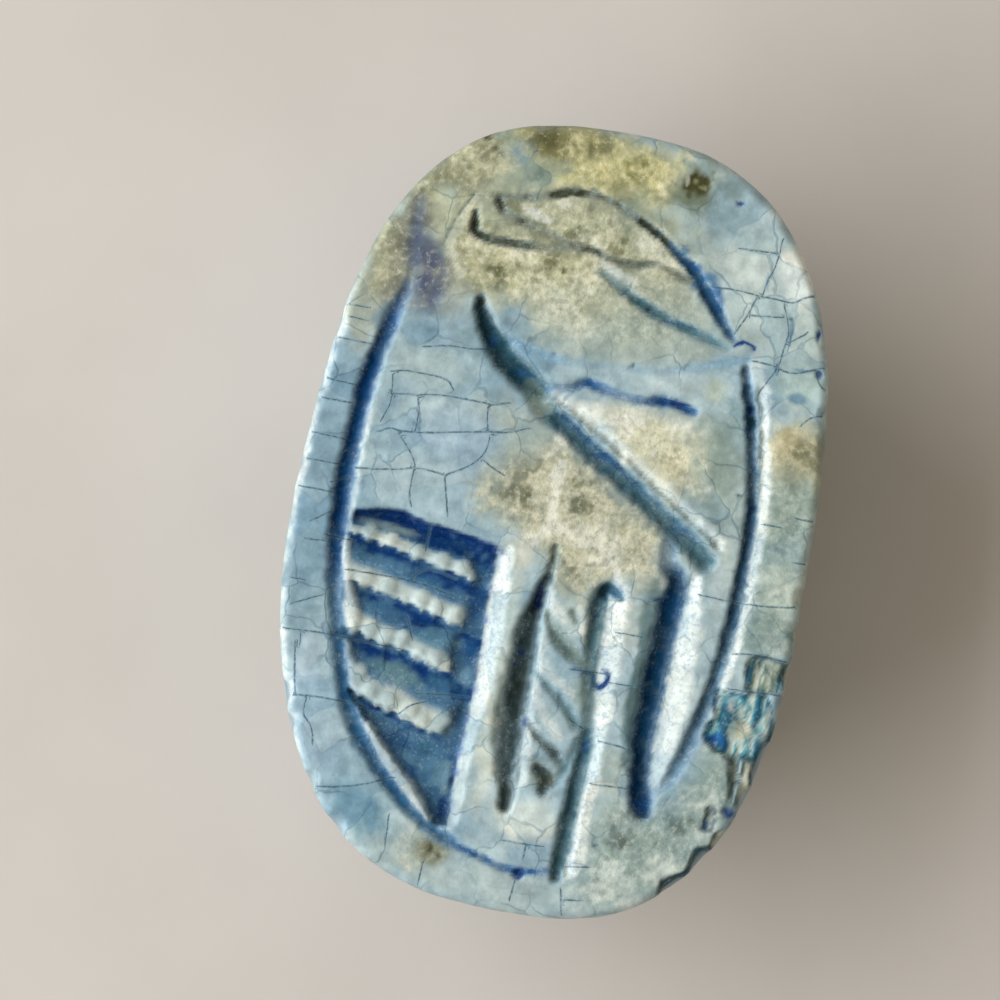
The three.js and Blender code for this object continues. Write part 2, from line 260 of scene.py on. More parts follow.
def disc_to_oval(dx, dy, inset):
    """Stretches the disc to an ellipse, and the ellipse to the slab's outline towards its rim."""
    angle = disc_angle(dx, dy)
    ellipse = 1 / np.hypot(np.cos(angle) / HALF_X, np.sin(angle) / HALF_Y)
    stretch = (edge_radius(angle) - inset) / ellipse
    share = 1 + (stretch - 1) * (dx**2 + dy**2)
    return dx * HALF_X * share, dy * HALF_Y * share


# ---------------------------------------------------------------- the engraving
# A cut runs through [x, y, half width left of travel, half width right of travel, share of
# its depth and glaze kept]. With it come its depth, the squareness of its section, the glaze
# that pooled in it and how full.
CUTS = {
    "border left": (0.34, 2.0, "navy", 0.95, (
        (-4.7, 7.5, .16, .16, .1), (-4.72, 6.6, .18, .18, .1), (-4.55, 5.6, .2, .2, .15),
        (-4.75, 5.0, .21, .21, .45), (-5.02, 4.0, .23, .23, .8), (-5.22, 3.0, .24, .25, 1),
        (-5.33, 2.1, .24, .25, 1), (-5.4, 1.0, .24, .26, 1), (-5.44, 0, .24, .26, 1),
        (-5.4, -1, .24, .26, .95), (-5.3, -2, .24, .25, .75), (-5.12, -3, .2, .2, .45),
        (-4.86, -4.0, .16, .16, .25))),
    "border left low": (0.2, 1.5, "blue", 0.85, (
        (-5.28, -2.2, .25, .25, .3), (-5.12, -3, .3, .28, .7),
        (-4.86, -4.0, .32, .28, .8), (-4.6, -5.0, .32, .28, .9), (-4.15, -5.9, .32, .28, .95),
        (-3.5, -6.75, .3, .28, .95), (-2.8, -7.45, .28, .26, 1), (-2.2, -7.92, .26, .24, 1),
        (-1.6, -8.25, .2, .2, .9), (-1.2, -8.42, .14, .14, .8))),
    "border foot": (0.13, 1.8, "navy", 0.75, (
        (-1.25, -8.42, .12, .12, .8), (-.7, -8.6, .12, .12, .9), (-.1, -8.78, .11, .11, .8),
        (.5, -8.86, .14, .14, 1), (1.3, -8.74, .1, .1, .6))),
    "border right": (0.32, 1.9, "dusk", 0.9, (
        (4.1, 4.6, .13, .12, .6), (4.28, 4.0, .16, .14, .8), (4.45, 3.4, .19, .16, .95),
        (4.6, 2.6, .19, .15, .75), (4.74, 1.9, .2, .16, .8), (4.84, 1.1, .2, .16, 1),
        (4.86, .3, .21, .16, .95), (4.84, -.6, .21, .16, .9), (4.82, -1.6, .21, .17, .9),
        (4.7, -2.7, .22, .18, .8), (4.52, -3.8, .23, .19, .68), (4.25, -4.9, .24, .2, .58),
        (3.98, -5.75, .22, .2, .45), (3.62, -6.4, .16, .15, .3))),
    "hair": (0.24, 1.7, "olive dark", 0.95, (
        (-2.9, 7.95, .1, .1, .4), (-2.0, 8.0, .14, .14, .6), (-1.2, 8.24, .15, .15, .85),
        (-.6, 8.35, .14, .14, 1), (0, 8.28, .13, .13, .9), (.6, 8.06, .12, .12, .85),
        (1.0, 7.82, .13, .13, 1), (1.5, 7.55, .14, .14, 1), (1.95, 7.22, .13, .13, .8))),
    "hair right": (0.22, 1.8, "dusk", 0.95, (
        (1.75, 7.38, .12, .12, .6), (2.1, 7.1, .16, .14, .9), (2.45, 6.8, .2, .15, 1),
        (2.75, 6.45, .2, .16, 1), (3.1, 6.0, .18, .16, 1), (3.4, 5.62, .15, .15, .8),
        (3.72, 5.28, .11, .11, .5))),
    "corner bracket": (0.1, 1.6, "ink", 1.0, (
        (3.76, 5.16, .07, .07), (3.9, 5.26, .06, .06), (4.12, 5.24, .06, .06),
        (4.26, 5.15, .07, .07))),
    "crossing upper": (0.42, 2.0, "earth", 1.0, (
        (-2.78, 5.28, .14, .14, .8), (-2.72, 4.95, .22, .2, 1), (-2.4, 4.45, .31, .28, 1),
        (-2.0, 3.98, .36, .33, 1), (-1.6, 3.62, .38, .35, 1), (-1.2, 3.38, .37, .34, .95),
        (-.85, 3.2, .28, .28, .7))),
    "crossing saddle": (0.24, 1.8, "moss", 0.6, (
        (-1.15, 3.25, .3, .3, .8), (-.85, 2.9, .34, .34, .9), (-.45, 2.62, .3, .3, 1))),
    "crossing lower": (0.36, 2.3, "sea", 0.75, (
        (-.4, 2.62, .24, .26, .9), (.3, 2.18, .26, .3, 1), (1.0, 1.72, .27, .31, 1),
        (1.9, 1.12, .27, .32, 1), (2.8, .5, .28, .32, 1), (3.5, .02, .3, .33, 1),
        (3.93, -.36, .28, .3, 1))),
    "crossing brim": (0.3, 1.6, "dusk", 0.75, (
        (-.3, 2.74, .08, .1, .8), (.1, 2.46, .09, .12, 1), (.7, 2.06, .09, .14, 1),
        (1.2, 1.74, .09, .12, 1), (1.9, 1.28, .08, .12, .8), (2.8, .66, .08, .1, .6),
        (3.6, .12, .08, .1, .5))),
    "arm": (0.24, 1.8, "navy", 0.8, (
        (-.75, 3.3, .1, .1, .35), (-.2, 3.42, .11, .11, .5), (.2, 3.6, .17, .16, 1),
        (.6, 3.53, .16, .15, .8), (1.1, 3.46, .13, .13, .5), (1.6, 3.4, .13, .13, .6),
        (2.15, 3.46, .16, .14, 1), (2.6, 3.42, .17, .14, 1), (3.05, 3.34, .13, .12, .8))),
    "shoulder": (0.08, 1.6, "slate", 0.42, (
        (-1.75, 4.35, .16, .16, .8), (-.9, 4.12, .15, .15, .8), (-.2, 4.08, .13, .13, .5),
        (.8, 4.12, .12, .12, .4), (2.0, 4.22, .13, .13, .5), (2.8, 4.42, .16, .16, .7),
        (3.5, 4.66, .17, .17, .9), (4.2, 4.92, .13, .13, .9))),
    "wing edge": (0.22, 1.9, "sea", 0.8, (
        (.1, 6.45, .1, .1, .3), (.6, 6.18, .13, .13, .5), (1.15, 5.88, .15, .15, .9),
        (1.8, 5.6, .16, .16, 1), (2.5, 5.38, .16, .16, 1), (3.1, 5.2, .14, .14, .8),
        (3.6, 5.06, .11, .11, .4))),
    "brow lower": (0.26, 1.8, "olive dark", 0.85, (
        (-3.28, 7.42, .12, .12, .9), (-3.2, 6.95, .15, .15, 1), (-2.85, 6.84, .15, .15, .9),
        (-2.1, 6.8, .15, .15, .8), (-1.3, 6.82, .14, .14, .7), (-.8, 6.98, .15, .15, .7),
        (-.2, 6.95, .15, .15, .9), (.2, 6.85, .13, .13, .7), (.8, 6.76, .14, .14, .8),
        (1.5, 6.85, .12, .12, .5), (2.2, 6.62, .12, .12, .6), (2.5, 6.6, .1, .1, .5))),
    "brow upper": (0.27, 1.8, "olive dark", 0.75, (
        (-2.72, 7.82, .15, .15, 1), (-2.45, 7.52, .18, .18, .9), (-1.7, 7.3, .17, .17, .7),
        (-1.1, 7.12, .14, .14, .6), (-.7, 6.96, .1, .1, .5))),
    "cheek": (0.1, 1.6, "olive dark", 0.6, (
        (-3.36, 7.9, .05, .05, .7), (-3.75, 7.1, .05, .05, .9), (-3.98, 6.35, .06, .06, .8))),
    "loop": (0.12, 1.8, "ink", 1.0, (
        (1.02, -3.55, .05, .05, .6), (1.3, -3.62, .06, .06, .8), (1.56, -3.66, .08, .08, .9),
        (1.6, -3.84, .1, .1, 1), (1.76, -3.94, .1, .1, 1), (1.92, -3.8, .08, .08, 1),
        (1.93, -3.6, .07, .07, .9), (1.78, -3.48, .06, .06, .6))),
    "leg left": (0.46, 1.7, "grime", 0.95, (
        (.12, -.6, .1, .12, .4), (.1, -1.2, .12, .14, .5), (-.04, -1.75, .13, .2, .9),
        (-.1, -2.4, .17, .36, 1), (-.1, -3.0, .18, .52, 1), (-.1, -4.0, .2, .62, 1),
        (-.12, -5, .22, .62, .9), (-.12, -5.8, .24, .54, .76), (-.12, -6.5, .24, .36, .7),
        (-.1, -7.0, .26, .28, .75), (-.1, -7.32, .22, .22, .75))),
    "leg middle": (0.36, 1.9, "sea", 0.9, (
        (1.95, -1.62, .12, .12, .8), (1.62, -1.42, .2, .2, 1), (1.44, -1.7, .24, .24, 1),
        (1.42, -2.4, .24, .24, .85), (1.45, -3.1, .22, .22, .65), (1.52, -3.9, .2, .2, .45),
        (1.6, -4.6, .2, .2, .5), (1.66, -5.3, .22, .22, .8), (1.62, -6.1, .24, .22, .85),
        (1.56, -7.0, .24, .24, .95), (1.52, -8.0, .22, .22, .95), (1.45, -8.85, .16, .16, .8))),
    "leg right": (0.54, 2.4, "deep sea", 0.95, (
        (3.0, .25, .2, .24, .25), (3.02, -.5, .22, .3, .35), (3.32, -1.0, .3, .36, .8),
        (3.28, -1.6, .26, .4, .9), (3.26, -2.4, .24, .4, .95), (3.2, -3.2, .26, .4, 1),
        (3.14, -4.2, .28, .36, 1), (3.1, -5.2, .28, .3, 1), (3.16, -6.0, .28, .28, 1),
        (3.3, -6.65, .3, .3, 1), (3.38, -6.85, .24, .24, .9))),
    "twist first": (0.2, 1.4, "moss", 0.55, (
        (.15, -2.3, .16, .1, .8), (.4, -2.75, .3, .2, 1), (.85, -3.15, .3, .26, 1),
        (1.25, -3.4, .26, .2, .8))),
    "twist second": (0.15, 1.5, "sea", 0.5, (
        (.08, -3.8, .1, .1, .7), (.55, -4.15, .12, .12, .9), (.95, -4.5, .18, .16, 1),
        (1.35, -5.0, .3, .18, 1))),
    "twist third": (0.17, 1.5, "grime", 0.6, (
        (.1, -5.1, .12, .12, .9), (.5, -5.45, .14, .14, .9), (.9, -5.75, .2, .2, 1),
        (1.25, -6.1, .16, .16, .8))),
    "twist foot": (0.15, 1.5, "sea", 0.5, (
        (1.0, -6.6, .14, .14, .6), (1.3, -6.0, .2, .2, .9), (1.5, -5.4, .2, .2, .8))),
    "twist hollow": (0.12, 1.7, "moss", 0.5, (
        (.8, -2.18, .12, .12, 1), (.95, -2.38, .12, .12, 1))),
    "blotch": (0.2, 1.8, "grime", 0.8, (
        (.55, -6.2, .16, .16, .9), (.85, -6.4, .26, .26, 1), (.8, -6.75, .18, .18, .8))),
}

# Broad facets beside the deep cuts: the tool leaned over, so one side is a long slope.
# Each slope faces the light at the left; its pale colour is partly worn stone, partly painted
# highlight.
FACETS = {
    "panel wall": (0.42, "bare", 0.75, (
        (-1.18, -1.0, .3, .3), (-1.32, -1.5, .5, .3), (-1.36, -2.4, .55, .3),
        (-1.34, -3.4, .5, .3), (-1.34, -4.4, .44, .3, .9), (-1.46, -5.4, .4, .3, .65),
        (-1.52, -6.6, .36, .3, .45), (-1.5, -7.8, .3, .25, .4))),
    "middle leg": (0.27, "bare", 0.85, (
        (1.62, -1.5, .5, .2), (1.6, -2.4, .66, .2), (1.62, -3.4, .66, .2),
        (1.66, -4.6, .56, .2), (1.8, -5.6, .34, .15), (1.8, -6.4, .34, .15),
        (1.72, -7.4, .3, .15), (1.66, -8.6, .34, .15))),
    "right leg": (0.33, "bare", 0.9, (
        (3.6, -.95, .3, .2), (3.46, -1.6, .58, .2, .95), (3.46, -3.0, .64, .2, .9),
        (3.4, -4.2, .7, .2, .75), (3.32, -5.4, .6, .2, .6), (3.38, -6.2, .42, .2, .5))),
    "left leg wall": (0.14, "bare", 0.5, (
        (.1, -1.8, .2, .1), (.08, -3.0, .24, .1), (.06, -5.0, .24, .1),
        (.14, -6.6, .26, .1))),
    "crossing wall": (0.16, "bare", 0.55, (
        (-.55, 3.12, .3, .1), (.2, 2.72, .36, .1), (1.4, 1.95, .26, .1), (2.8, 1.0, .24, .1),
        (4.1, .1, .26, .1))),
    "border wall right": (0.16, "bare", 0.8, (
        (4.55, 4.1, .28, .1), (4.8, 3.0, .22, .1), (4.98, 1.6, .26, .1), (5.02, .2, .28, .1),
        (5.0, -1.2, .26, .1), (4.9, -2.6, .2, .1), (4.66, -3.9, .14, .1))),
    "border wall left": (0.1, "bare", 0.6, (
        (-5.12, 3.6, .12, .1), (-5.16, 2.0, .14, .1), (-5.2, .0, .14, .1),
        (-5.08, -1.8, .16, .1), (-4.9, -3.2, .2, .1))),
}

# The sunk panel of feathers: its rim, then each row's crest and the cut under it, as lines
# across the panel, each with its depth.
PANEL = ((-5.1, -.46), (-4.4, -.34), (-3.8, -.3), (-3.5, -.42), (-2.4, -.6), (-1.4, -.78),
         (-1.12, -.95), (-1.28, -1.6), (-1.3, -3.0), (-1.3, -4.4), (-1.42, -6.0),
         (-1.42, -8.05), (-1.78, -8.12), (-2.2, -7.7), (-3.0, -6.75), (-3.75, -6.0),
         (-4.15, -5.5), (-4.6, -5.05), (-4.85, -4.3), (-5.05, -3.4), (-5.2, -1.8))
PANEL_LINES = (
    (0.46, ((-5.2, -.62), (-4.2, -.5), (-3.5, -.6), (-2.4, -.8), (-1.6, -1.0), (-1.2, -1.2))),
    (0.1, ((-5.2, -1.02), (-4, -1.25), (-3.2, -1.45), (-2.6, -1.58), (-2.1, -1.7),
           (-1.2, -1.95))),
    (0.32, ((-5.2, -1.12), (-4, -1.4), (-3.2, -1.62), (-2.6, -1.78), (-2.0, -1.86),
            (-1.2, -2.15))),
    (0.1, ((-5.2, -2.2), (-4, -2.44), (-3.3, -2.62), (-2.4, -2.84), (-1.2, -3.1))),
    (0.32, ((-5.2, -2.34), (-4, -2.6), (-3.3, -2.8), (-2.4, -3.02), (-1.2, -3.3))),
    (0.1, ((-5.2, -3.4), (-4.5, -3.5), (-4, -3.7), (-3.25, -3.76), (-3.05, -3.85),
           (-2.3, -4.1), (-1.2, -4.4))),
    (0.34, ((-5.2, -3.55), (-4.5, -3.66), (-4, -3.88), (-3.25, -3.96), (-2.3, -4.28),
            (-1.2, -4.6))),
    (0.06, ((-5.2, -4.7), (-4.4, -4.98), (-4.1, -5.12), (-3.2, -5.4), (-2.4, -5.72),
            (-1.2, -5.8))),
    (0.4, ((-5.2, -5.0), (-4.3, -5.2), (-3.9, -5.38), (-3.1, -5.66), (-2.2, -5.92),
           (-1.2, -6.0))),
    (0.3, ((-5.2, -7.0), (-3.0, -7.0), (-1.2, -7.0))),
    (0.5, ((-5.2, -8.4), (-1.2, -8.4))),
)
PLAIN_FROM = 8                  # the lines from this one on bound the ground under the feathers
FEATHER_END = (-2.2, -1.75)     # between these the feathers sink into the panel's ground
KNOB_RISE = 0.075
PANEL_TONES = (                 # thinner and thicker glaze between the feathers
    (-4.2, -.8, .8, .14, -6, "a9bcb8", .8), (-4.1, -1.72, .9, .2, -4, "6594b2", .75),
    (-2.8, -1.95, .5, .14, -8, "4f83a6", .7), (-3.9, -2.88, .7, .16, -8, "5a8cab", .7),
    (-2.5, -3.4, .55, .28, 0, "749fb2", .85), (-3.4, -4.4, .8, .3, -15, "7b9ea4", .85),
    (-2.2, -4.5, .5, .18, -8, "4a7fa3", .7), (-1.6, -2.3, .2, .5, 0, "285c96", .85),
    (-1.65, -3.5, .22, .4, 0, "1f5c92", .8), (-1.62, -4.2, .24, .26, 0, "83acc4", .75),
    (-1.65, -4.75, .3, .14, 0, "1c5c98", .8), (-1.95, -5.5, .3, .42, 0, "86a6b1", .85),
    (-2.3, -6.2, .25, .3, -20, "376a86", .6), (-1.75, -7.6, .14, .3, 0, "235f90", .6),
    (-1.9, -6.75, .3, .35, 0, "7fa8b8", .75), (-3.3, -6.1, .3, .12, -30, "2c6a94", .5),
    (-2.6, -.95, .5, .12, -10, "1a4f86", .6), (-1.6, -1.5, .3, .2, 0, "3f79aa", .7),
    (-2.25, -6.75, .3, .45, -20, "5f8eab", .7), (-1.7, -6.9, .14, .5, 0, "8fb0c0", .6),
    (-2.0, -7.3, .2, .3, -30, "35698a", .6), (-2.7, -6.45, .25, .2, -40, "6c97ae", .6),
    (-2.9, -6.15, .5, .16, -25, "1f5787", .6), (-4.35, -5.15, .3, .12, -20, "2b6a96", .6),
)
KNOBS = (                       # worn knobs on the feathers: centre and radius
    (-4.6, -.98, .26), (-4.0, -1.1, .22), (-3.32, -1.32, .22), (-2.68, -1.42, .26),
    (-2.12, -1.5, .24), (-4.5, -2.18, .26), (-3.9, -2.28, .26), (-3.05, -2.46, .24),
    (-2.62, -2.6, .2), (-2.1, -2.78, .24), (-4.2, -3.42, .24), (-3.75, -3.52, .24),
    (-3.35, -3.52, .22), (-2.85, -3.86, .2), (-2.48, -3.92, .26), (-4.3, -4.55, .26),
    (-3.95, -4.95, .26), (-3.45, -5.18, .28), (-2.85, -5.3, .26), (-2.52, -5.5, .2),
)
RIDGES = {                      # narrow lands left standing: height kept, look, cover, path
    "spine": (0.03, "bare", 0.65, (
        (-5.12, -1.3, .1, .1), (-5.08, -1.75, .13, .13), (-4.98, -2.2, .12, .12),
        (-4.85, -2.6, .17, .17), (-4.72, -3.1, .2, .2), (-4.62, -3.5, .12, .12))),
    "lower spine": (0.05, "bare", 0.4, (
        (-4.72, -3.85, .1, .1), (-4.5, -4.4, .14, .14), (-4.35, -4.9, .12, .12))),
    "slanting ridge": (0.06, "bare", 0.45, (
        (-3.86, -5.82, .1, .1), (-3.5, -6.25, .16, .16), (-3.1, -6.75, .19, .19),
        (-2.6, -7.2, .2, .2), (-2.25, -7.6, .17, .17), (-1.98, -7.9, .1, .1))),
    "band first": (-0.05, "bare", 0.8, (
        (.25, -1.95, .1, .1), (.42, -2.2, .14, .14), (.62, -2.42, .1, .1))),
    "band first top": (-0.03, "bare", 0.6, (
        (.98, -2.0, .08, .08), (1.1, -2.3, .1, .1), (1.08, -2.65, .12, .12),
        (.85, -2.7, .08, .08))),
    "band second": (-0.04, "bare", 0.45, (
        (.14, -2.9, .07, .07), (.2, -3.35, .1, .1), (.42, -3.75, .14, .12),
        (.8, -4.0, .14, .14), (1.15, -4.25, .08, .08))),
    "band third": (-0.04, "bare", 0.45, (
        (.14, -4.3, .06, .06), (.4, -4.7, .15, .13), (.64, -5.04, .2, .16),
        (.98, -5.42, .12, .12))),
    "ankle": (-0.02, "bare", 0.75, (
        (2.08, -6.25, .12, .12), (1.98, -6.7, .16, .18), (1.95, -7.4, .15, .16),
        (1.98, -8.0, .2, .2), (1.95, -8.45, .18, .2))),
    "jaw": (-0.04, "cream", 0.7, (
        (-3.3, 7.8, .08, .08), (-3.55, 7.2, .12, .12), (-3.75, 6.6, .13, .13),
        (-3.6, 6.1, .12, .12), (-3.35, 5.85, .1, .1))),
    "wing light": (-0.03, "bare", 0.6, (
        (.1, 6.68, .08, .08), (.5, 6.5, .11, .11), (1.0, 6.3, .08, .08))),
    "eye light": (-0.02, "bare", 0.6, (
        (-2.05, 7.72, .08, .08), (-1.75, 7.62, .13, .13), (-1.4, 7.5, .09, .09))),
}

# The larger cracks of the glaze, through [x, y].
CRACKS = (
    ((-6.35, 3.75), (-5.3, 3.7)), ((-6.5, 2.69), (-5.55, 2.62)), ((-6.3, 2.17), (-5.6, 2.15)),
    ((-6.6, 1.28), (-5.6, 1.22)), ((-6.6, .58), (-5.55, .58)), ((-6.7, -.12), (-5.7, -.15)),
    ((-5.75, .1), (-5.35, .3)), ((-6.1, -.95), (-5.65, -.65)), ((-5.65, -1.25), (-4.95, -1.28)),
    ((-6.15, -1.42), (-5.7, -1.4)), ((-6.35, -2.45), (-6.05, -2.45)),
    ((-6.25, -3.1), (-5.5, -2.75)), ((-6.0, 4.6), (-5.55, 4.6)), ((-5.95, 4.3), (-5.55, 4.28)),
    ((-4.65, 2.55), (-4, 2.62), (-3.4, 2.71), (-2.7, 2.71), (-2.05, 2.69), (-1.65, 2.8)),
    ((-4.7, 3.1), (-4.4, 3.18), (-3.9, 3.18), (-3.3, 3.12), (-3.1, 2.92)),
    ((-4.68, 3.1), (-4.6, 2.5), (-4.65, 2.15), (-4.77, 1.85)),
    ((-3.94, 2.6), (-3.87, 2.25), (-3.86, 1.75)), ((-2.17, 2.69), (-2.12, 2.35), (-2.05, 2.0)),
    ((-4.8, 1.55), (-4.5, 1.68), (-4.2, 1.65), (-3.5, 1.73), (-2.85, 1.85), (-2.05, 1.98),
     (-1.5, 2.07), (-1.05, 2.25)),
    ((-4.3, 1.6), (-4, 1.28), (-3.8, 1.0), (-3.72, .8)),
    ((-2.05, 1.98), (-1.98, 1.8), (-2.07, 1.4), (-2.4, 1.05), (-2.95, .72)),
    ((-2.07, 1.28), (-1.85, 1.15), (-1.5, .98)),
    ((-5.2, .55), (-4.7, .6), (-4.15, .68), (-3.72, .78), (-3.3, .78), (-2.95, .72)),
    ((-2.95, .72), (-2.85, .3), (-2.72, -.25)), ((-3.75, .7), (-3.75, .1), (-3.68, -.15)),
    ((-4.0, 3.85), (-3.4, 3.97), (-2.75, 4.0), (-2.25, 4.07)),
    ((-6.5, -3.75), (-5.85, -3.72), (-5.1, -3.72), (-4.65, -3.75), (-4, -3.78), (-3.4, -3.8)),
    ((-5.9, -3.75), (-5.88, -4.1)), ((-6.0, -4.05), (-5.92, -4.65), (-5.8, -5.3)),
    ((-6.1, -5.42), (-5.5, -5.34), (-4.9, -5.33), (-4.4, -5.35)),
    ((-5.48, -5.37), (-5.5, -5.8), (-5.25, -6.1), (-5.15, -6.5)),
    ((-5.0, -7.58), (-4.4, -7.5), (-3.8, -7.35), (-3.3, -7.15), (-3.0, -7.03)),
    ((-1.9, -9.0), (-1.95, -9.6)), ((-2.95, -8.0), (-2.93, -8.7)),
    ((2.0, -3.78), (2.7, -3.75), (3.05, -3.6)), ((1.0, -3.6), (1.9, -3.58)),
    ((2.0, -5.28), (2.65, -5.35)), ((1.2, -4.88), (1.5, -5.02)), ((1.95, -6.38), (2.8, -6.35)),
    ((0, -8.15), (1.0, -8.15)), ((.6, -8.15), (.57, -8.5)), ((.47, -9.1), (.4, -9.6)),
    ((1.65, -9.15), (1.75, -9.75)), ((1.72, -9.4), (2.2, -9.33)), ((1.7, -8.55), (2.2, -8.48)),
    ((2.0, -2.5), (2.65, -2.5)), ((2.7, -1.6), (3.1, -1.4)),
    ((5.75, 3.45), (6.0, 3.68), (6.45, 3.8)), ((6.0, 1.08), (6.5, 1.08)),
    ((5.2, .8), (5.65, .8)), ((6.15, -.02), (6.45, -.02)),
    ((3.9, -1.22), (4.6, -1.25), (5.5, -1.25), (6.3, -1.15)),
    ((5.0, -2.55), (5.5, -2.5), (6.45, -2.55)),
    ((5.0, -3.45), (6.4, -3.4)),
    ((3.02, 6.52), (3.5, 6.55), (4.1, 6.5), (4.7, 6.47), (5.05, 6.47), (5.3, 6.62), (5.65, 6.75)),
    ((4.52, 8.0), (4.47, 7.4), (4.32, 6.9), (4.25, 6.55)),
    ((4.1, 6.45), (4.0, 6.1), (3.85, 5.75), (3.7, 5.45)),
    ((4.82, 6.4), (4.95, 6.05), (5.05, 5.7), (5.0, 5.3), (4.92, 4.8), (4.75, 4.45), (4.55, 4.05)),
    ((3.5, 7.6), (4.45, 7.62)), ((4.0, 5.97), (4.85, 6.05)), ((5.1, 5.45), (5.5, 5.75)),
    ((4.3, 4.85), (4.8, 4.8), (5.25, 4.7), (5.65, 4.8), (6.05, 4.95), (6.3, 5.02)),
    ((5.9, 4.85), (6.02, 4.55), (6.25, 4.35), (6.4, 4.05)),
    ((-5.0, -2.02), (-3.4, -2.05), (-2.18, -2.25)),
    ((-3.4, -2.05), (-3.2, -1.8), (-2.9, -1.68), (-2.25, -1.82)),
    ((-3.3, -2.95), (-3.1, -3.5)), ((-3.1, -.6), (-3.12, -1.2)),
    ((-2.75, -4.85), (-2, -4.75), (-1.45, -4.73)),
    ((-3.1, -5.4), (-2.85, -5.15), (-2.5, -5.0)),
)

# Pieces broken out of the glaze and stone at the slab's right edge: corners, depth, glaze.
CHIPS = {
    "glassy": (0.17, "chip", ((4.66, -3.46), (5.35, -3.5), (6.05, -3.44), (6.3, -4.1),
                              (6.25, -4.85), (5.95, -5.2), (5.4, -5.22), (4.9, -5.08),
                              (4.52, -4.74), (4.6, -4.45), (4.84, -4.2), (4.68, -3.9))),
    "fibrous": (0.16, "fibre", ((5.38, -2.56), (5.9, -2.5), (6.3, -2.62), (6.3, -3.42),
                                (5.38, -3.42))),
    "slot": (0.3, "earth", ((5.36, -5.2), (5.6, -5.2), (5.6, -6.2), (5.42, -6.12))),
    "tan": (0.1, "tan", ((5.64, -5.2), (6.4, -5.15), (6.2, -6.25), (5.66, -6.25))),
    "low tan": (0.12, "tan", ((5.2, -7.1), (5.7, -6.9), (5.5, -7.7), (5.15, -7.6))),
    "low edge": (0.2, "earth", ((4.8, -7.55), (5.5, -7.4), (5.1, -8.3), (4.7, -8.15))),
    "foot edge": (0.16, "earth", ((4.05, -8.5), (4.8, -8.1), (4.8, -8.7), (4.1, -9.0))),
    "blue nick": (0.1, "navy", ((4.95, -6.5), (5.2, -6.5), (5.2, -7.1), (4.9, -7.05))),
}

# What glaze, wear and dirt look like in each kind of place. The lit-wall colour is a painted
# highlight, and the bare stone colour serves both worn stone and painted highlights.
COLOURS = {
    "clear": "b0c5c9", "navy": "15619c", "teal": "023f80", "blue": "3a749c", "slate": "6b9dbc",
    "sea": "5b8791", "deep sea": "125d8c", "moss": "727f68", "olive dark": "5c5d41",
    "earth": "35636f", "grime": "4d5b56", "bare": "eff2e8", "chip": "4f97a6",
    "fibre": "71887a", "tan": "c4bd9f", "cream": "d8d8bf", "ink": "0f4086", "pit": "4b4722",
    "olive": "989872", "violet": "39509c", "dusk": "396b8f",
    "thin cloud": "e2ebea", "thick cloud": "78a2bd", "panel bed": "d6dfd6",
    "painted lit wall": "b9cdd6", "fibre crest": "d8dfd0", "fibre cleft": "0f5674",
    "broken line": "1d4350", "back cloud": "86a8b8", "back earth": "b4b393",
    "hole dirt": "5d5a4c",
}

